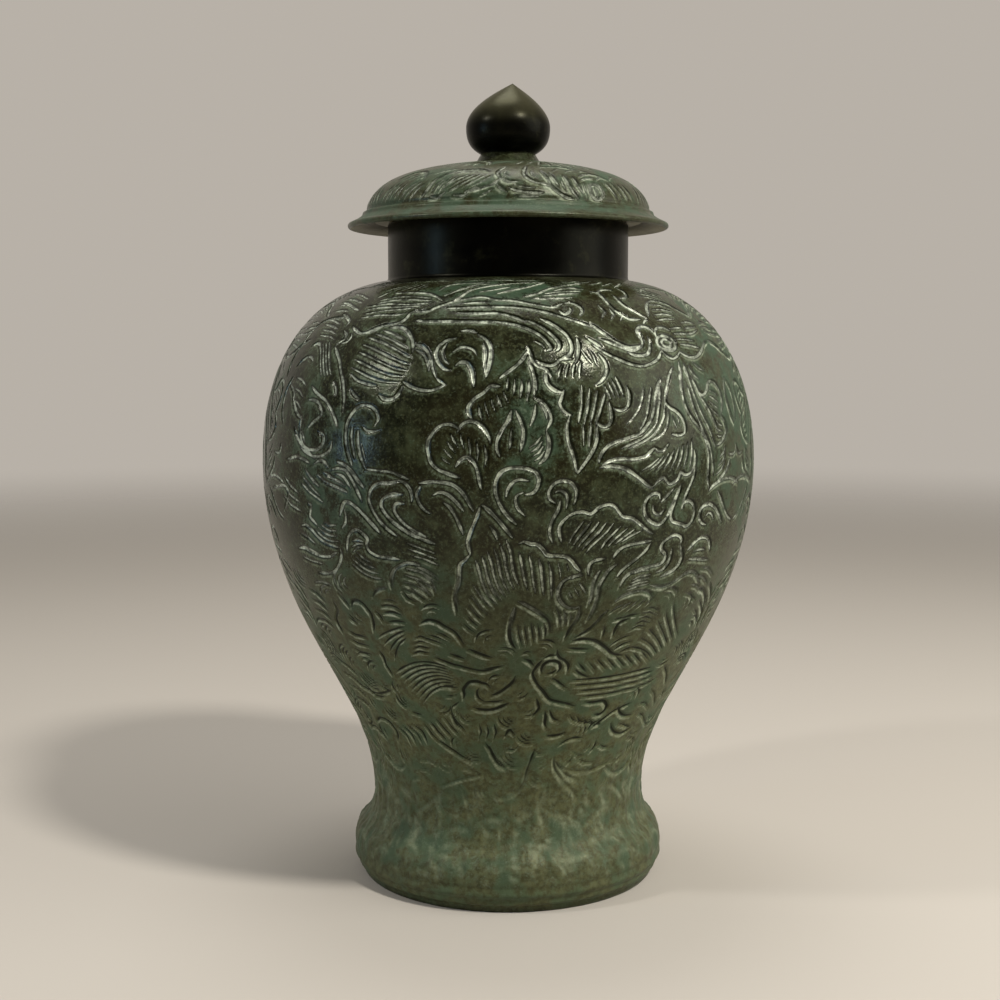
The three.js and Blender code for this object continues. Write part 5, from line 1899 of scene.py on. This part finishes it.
@dataclass
class JarFittings(Assembly):
    """The neck and the floor plate, which are let into the body."""

    neck_radius: float = 46.2
    neck_fillet: float = 1.5
    tenon_radius: float = 45.0
    bore_radius: float = 43.4
    neck_bottom: float = 224.5
    neck_seat: float = 230.0
    neck_middle: float = 238.0
    neck_upper: float = 245.0
    rim_height: float = 251.4
    neck_top: float = 252.2
    rim_outer: float = 45.4
    rim_inner: float = 44.2
    plate_radius: float = 52.8
    plate_bottom: float = 6.2
    plate_top: float = 9.0
    plate_middle: float = 30.0
    plate_hub: float = 4.0
    dish_edge: float = 8.9
    dish_centre: float = 8.8

    def build(self) -> None:
        """Turns both pieces."""
        outer = self.neck_radius
        inner = self.bore_radius
        bottom = self.neck_bottom
        fillet = (outer + self.neck_fillet, self.neck_seat + self.neck_fillet)
        neck = Outline(
            [(inner, bottom), (self.tenon_radius, bottom), (self.tenon_radius, self.neck_seat)],
            arc(fillet, self.neck_fillet, 270.0, 180.0, 9),
            [(outer, self.neck_middle), (outer, self.neck_upper), (outer, self.rim_height)],
            [(self.rim_outer, self.neck_top), (self.rim_inner, self.neck_top)],
            [(inner, self.rim_height), (inner, self.neck_middle), (inner, bottom)],
        )
        piece = Turning("neck_collar_turned", neck.points, 192).build()
        dress(piece, Body.JAR, "neck_collar", Slot.DARK, self.finishes.dark)
        wide = self.plate_radius
        low = self.plate_bottom
        hub = self.plate_hub
        middle = self.plate_middle
        centre = self.dish_centre
        plate = [(hub, low), (middle, low), (wide, low), (wide, self.plate_top)]
        dished = [(middle, self.dish_edge), (hub, centre), (0.0, centre)]
        piece = Turning("floor_plate_cast", np.array(plate + dished), 128).build()
        dress(piece, Body.JAR, "floor_plate", Slot.RAW, self.finishes.raw)


@dataclass
class Lid(Assembly):
    """The domed lid with its chased top and its seat ring."""

    brim_radius: float = 61.5
    brim_round: float = 1.1
    brim_height: float = 251.0
    dome_radius: float = 54.6
    dome_foot: float = 256.7
    dome_top: float = 275.1
    boss_radius: float = 12.5
    seat_radius: float = 10.5
    seat_height: float = 278.4
    boss_under: float = 272.2
    bore_radius: float = 3.15
    mouth_radius: float = 51.4
    wall: float = 2.6
    ring_radius: float = 51.2
    ring_seat: float = 252.5
    ring_top: float = 254.7
    skirt_radius: float = 42.5
    skirt_bore: float = 40.1
    skirt_bottom: float = 241.0
    columns: int = 720
    step: float = 0.56
    brim_bloom: Bloom = Bloom(10.0, -3.0, 16.0, 4.0, 0.35)

    def dome(self) -> np.ndarray:
        """Points up the outside of the dome, as radius and height in mm."""
        foot = (self.dome_radius, self.dome_foot)
        return Sweep(foot, 104, 14.4, (self.boss_radius, self.dome_top), 172.6, 20.4).points()

    def outline(self) -> tuple[Outline, float]:
        """The top of the lid from under the brim to the seat of the knob.

        Returns:
            The outline, and the length along it where the dome starts.
        """
        centre = (self.brim_radius - self.brim_round, self.brim_height)
        brim = arc(centre, self.brim_round, -90.0, 62.0, 17)
        foot = (self.dome_radius, self.dome_foot)
        flare = Sweep(tuple(brim[-1]), 158, 2.6, foot, 112, 2.4).points()
        start = Outline(brim, flare).total
        return Outline(brim, flare, self.dome(), [(self.seat_radius, self.seat_height)]), start

    def vault(self) -> np.ndarray:
        """The underside of the lid, from the bore down to the brim.

        Returns:
            Radius and height of each row in mm.
        """
        dome = Outline(self.dome())
        along = np.linspace(dome.total, 0.0, 16)
        inside = dome.at(along) - self.wall * dome.facing(along)
        inside = inside[inside[:, 0] < self.ring_radius]
        under = self.boss_under
        bore = [(self.bore_radius, self.seat_height), (self.bore_radius, under), (self.seat_radius, under)]
        corner = (self.mouth_radius, inside[-1, 1] - 0.6)
        return np.concatenate([bore, inside, [corner, (self.mouth_radius, self.ring_seat)]])

    def build(self) -> None:
        """Chases the dome and turns the seat ring."""
        outline, start = self.outline()
        places = np.linspace(0.0, outline.total, int(outline.total / self.step))
        relief = Relief(outline, places, self.columns, start)
        relief.chase(LidOrnament())
        crowd = blurred(relief.cut, 4, 5)
        rise = relief.heights[:, None]
        relief.lift = 0.55 * hump(rise, -1.3, 0.75) - 0.5 * hump(rise, 0.2, 0.6) + relief.lips(crowd)
        face = relief.points()
        back = self.vault()
        even = np.ones_like(relief.cut)
        boss = np.clip((places - outline.total + 5.2) / 1.2, 0.0, 1.0)[:, None]
        bloom = 0.46 + 0.5 * crowd + 0.24 * hump(rise, -5.0, 3.0)
        marks = {
            "fill": relief.fill,
            "kept": 1.3 * even,
            "worn": (0.30 - 0.12 * boss) * even,
            "bloom": relief.patched(bloom, (self.brim_bloom,)) - 0.8 * boss,
            # Pale deposit round each cut with a painted highlight on the lip below it, and painted shade
            # on the side above it.
            "near": relief.lit_lips_and_deposit(),
            "shade": relief.shaded(),
        }
        inside = ring_of(back[:, :1], back[:, 1:], relief.angles)
        piece = RolledSheet("lid_dome", face, normals_of(face), inside, marks).build()
        dress(piece, Body.LID, "lid_shell", Slot.CHASED, self.finishes.chased, self.finishes.raw)
        self.seat_ring()

    def seat_ring(self) -> None:
        """Turns the ring that rests on the neck and drops into it."""
        profile = [
            (self.skirt_bore, self.skirt_bottom),
            (self.skirt_radius, self.skirt_bottom),
            (self.skirt_radius, self.ring_seat),
            (self.ring_radius, self.ring_seat),
            (self.ring_radius, self.ring_top),
            (self.skirt_bore, self.ring_top),
            (self.skirt_bore, self.skirt_bottom),
        ]
        piece = Turning("seat_ring_turned", np.array(profile), 160, 0.3).build()
        dress(piece, Body.LID, "lid_seat_ring", Slot.RAW, self.finishes.raw)


@dataclass
class KnobSet(Assembly):
    """The bud knob and the stud, washer and nut that hold it."""

    knob_radius: float = 16.1
    chin_radius: float = 10.1
    seat_height: float = 278.4
    bud_height: float = 288.4
    tip_height: float = 305.2
    tip_lean: float = 1.7
    lean_start: float = 292.0
    lean_length: float = 13.2
    hole_radius: float = 3.15
    hole_top: float = 291.5
    stud_radius: float = 3.0
    stud_bottom: float = 265.9
    stud_top: float = 291.4
    stud_core: float = 0.02
    stud_end: float = 0.5
    stud_rows: int = 204
    stud_columns: int = 32
    pitch: float = 1.0
    thread_depth: float = 0.5
    thread_slope: float = 2.6
    washer_radius: float = 8.0
    washer_top: float = 272.2
    nut_flat: float = 10.0
    nut_top: float = 271.0
    nut_bottom: float = 267.0
    chamfer: Point = (0.7, 0.45)

    def build(self) -> None:
        """Makes the four pieces."""
        self.knob()
        self.stud()
        self.washer()
        self.nut()

    def knob(self) -> None:
        """Turns the bud and leans its tip a little to the right, as it was cast."""
        wide = (self.knob_radius, self.bud_height)
        chin = Sweep((self.chin_radius, self.seat_height), 27, 5, wide, 90, 5).points(26)
        crown = Sweep(wide, 90, 7.4, (0.0, self.tip_height), 148, 6.6).points(34)
        hole = [(self.hole_radius, self.hole_top), (self.hole_radius, self.seat_height)]
        piece = Turning("knob_bud", Outline(hole, chin, crown).points, 144, 0.3).build()
        for vertex in piece.data.vertices:
            share = max(0.0, (vertex.co.z / MM - self.lean_start) / self.lean_length)
            vertex.co.x += self.tip_lean * MM * share**2
        dress(piece, Body.LID, "knob", Slot.DARK, self.finishes.top_sheen_and_wear)

    def stud(self) -> None:
        """Rolls the threaded stud."""
        angles = np.linspace(-180.0, 180.0, self.stud_columns, endpoint=False)
        height = np.linspace(self.stud_bottom, self.stud_top, self.stud_rows)[:, None]
        phase = (height / self.pitch - angles[None, :] / 360.0) % 1.0
        cut = self.thread_depth * np.clip(1.0 - np.abs(phase - 0.5) * self.thread_slope, 0.0, 1.0)
        ends = np.minimum(height - self.stud_bottom, self.stud_top - height)
        rounded = self.stud_end * np.clip(1.0 - ends / self.stud_end, 0.0, 1.0)
        radius = self.stud_radius - cut - rounded
        face = ring_of(radius, height, angles)
        axis = np.array([[self.stud_top], [self.stud_bottom]])
        back = ring_of(np.full_like(axis, self.stud_core), axis, angles)
        piece = RolledSheet("stud_threaded", face, normals_of(face), back, {}).build()
        brass = self.finishes.brass
        dress(piece, Body.LID, "knob_stud", Slot.BRASS, brass, brass)

    def washer(self) -> None:
        """Turns the washer."""
        inner, outer = self.hole_radius, self.washer_radius
        low, high = self.nut_top, self.washer_top
        profile = [(inner, low), (outer, low), (outer, high), (inner, high), (inner, low)]
        piece = Turning("washer_plate", np.array(profile), 96, 0.2).build()
        dress(piece, Body.LID, "knob_washer", Slot.BRASS, self.finishes.brass)

    def nut(self) -> None:
        """Turns a chamfered ring and cuts its six flats."""
        corner = self.nut_flat / 2.0 / math.cos(math.radians(30.0))
        inner = self.hole_radius
        low, high = self.nut_bottom, self.nut_top
        inset, rise = self.chamfer
        profile = [
            (inner, low),
            (corner - inset, low),
            (corner, low + rise),
            (corner, high - rise),
            (corner - inset, high),
            (inner, high),
            (inner, low),
        ]
        piece = Turning("nut_hexagon", np.array(profile), 96, 0.12).build()
        bpy.ops.object.mode_set(mode="EDIT")
        for side in range(6):
            turn = math.radians(60.0 * side)
            away = (math.cos(turn), math.sin(turn), 0.0)
            flat = tuple(self.nut_flat / 2.0 * MM * part for part in away)
            bpy.ops.mesh.select_all(action="SELECT")
            bpy.ops.mesh.bisect(plane_co=flat, plane_no=away, use_fill=True, clear_outer=True)
        bpy.ops.object.mode_set(mode="OBJECT")
        piece.data.validate()
        bpy.ops.object.shade_smooth_by_angle(angle=SMOOTH_ANGLE)
        dress(piece, Body.LID, "knob_nut", Slot.BRASS, self.finishes.brass)


@dataclass(frozen=True)
class Lamp:
    """A soft lamp that looks at the middle of the jar."""

    name: str
    place: tuple[float, float, float]
    size: float
    power: float
    colour: tuple[float, float, float]
    aim: float = 0.14

    def light(self) -> None:
        """Hangs the lamp."""
        clear_selection()
        bpy.ops.object.light_add(type="AREA", location=self.place)
        lamp = bpy.context.object
        lamp.name = self.name
        lamp.data.shape = "DISK"
        lamp.data.size = self.size
        lamp.data.energy = self.power
        lamp.data.color = self.colour
        way = Vector((0.0, 0.0, self.aim)) - lamp.location
        lamp.rotation_euler = way.to_track_quat("-Z", "Y").to_euler()


@dataclass
class Studio:
    """The floor, the lamps, the pale room and the camera, in metres."""

    camera_place: tuple[float, float, float] = (-0.0031, -0.5959, 0.2048)
    camera_tilt: float = 5.69
    lens: float = 54.98
    sensor: float = 36.0
    floor_radius: float = 2.4
    backdrop: Colour = (0.48, 0.44, 0.39, 1)
    dim_side: Colour = (0.095, 0.091, 0.083, 1)
    dim_until: float = -0.45
    pale_from: float = 0.60
    lamps: tuple[Lamp, ...] = (
        Lamp("key_lamp", (0.53, -0.57, 1.05), 0.14, 11.8, (1.0, 0.95, 0.87)),
        Lamp("left_lamp", (-0.84, -0.37, 0.82), 0.11, 3.4, (1.0, 0.97, 0.92)),
        Lamp("window_lamp", (-1.05, -0.38, 0.26), 0.20, 1.2, (0.48, 0.72, 1.0)),
        Lamp("right_lamp", (0.90, -0.25, 0.50), 0.80, 4.4, (1.0, 0.98, 0.92)),
        Lamp("top_lamp", (-0.05, 0.30, 1.30), 0.60, 4.0, (1.0, 0.98, 0.94)),
    )

    def build(self) -> None:
        """Sets up everything round the object."""
        self.camera()
        self.floor()
        self.world()
        for lamp in self.lamps:
            lamp.light()
        bpy.context.scene.view_settings.view_transform = "Standard"

    def camera(self) -> None:
        """Stands the camera in front of the jar, looking slightly down on it."""
        clear_selection()
        tilt = (math.radians(90.0 - self.camera_tilt), 0.0, 0.0)
        bpy.ops.object.camera_add(location=self.camera_place, rotation=tilt)
        camera = bpy.context.object
        camera.name = "photo_camera"
        camera.data.lens = self.lens
        camera.data.sensor_width = self.sensor
        camera.data.clip_start = 0.01
        bpy.context.scene.camera = camera

    def floor(self) -> None:
        """Lays a round pale floor under the jar."""
        clear_selection()
        bpy.ops.mesh.primitive_circle_add(vertices=128, radius=self.floor_radius, fill_type="NGON")
        floor = bpy.context.object
        floor.name = "studio_floor"
        floor.data.materials.append(FloorFinish().material())

    def world(self) -> None:
        """Makes a room that is pale behind the jar and dim on the near side."""
        s = Shader(bpy.data.worlds.new("pale_room"))
        way = s.node("ShaderNodeTexCoord", output="Generated")
        behind = s.node("ShaderNodeSeparateXYZ", None, {0: way}, "Y")
        colour = s.mix(behind.between(self.dim_until, self.pale_from), self.dim_side, self.backdrop)
        room = s.node("ShaderNodeBackground", None, {"Color": colour})
        bpy.context.scene.world = s.end(room, "ShaderNodeOutputWorld")


def main() -> None:
    """Builds the jar, its lid and the studio in order."""
    logging.basicConfig(level=logging.INFO, format="%(name)s %(message)s")
    finishes = Finishes()
    Studio().build()
    for assembly in (JarBody, JarFittings, Lid, KnobSet):
        assembly(finishes).build()


if __name__ == "__main__":
    main()
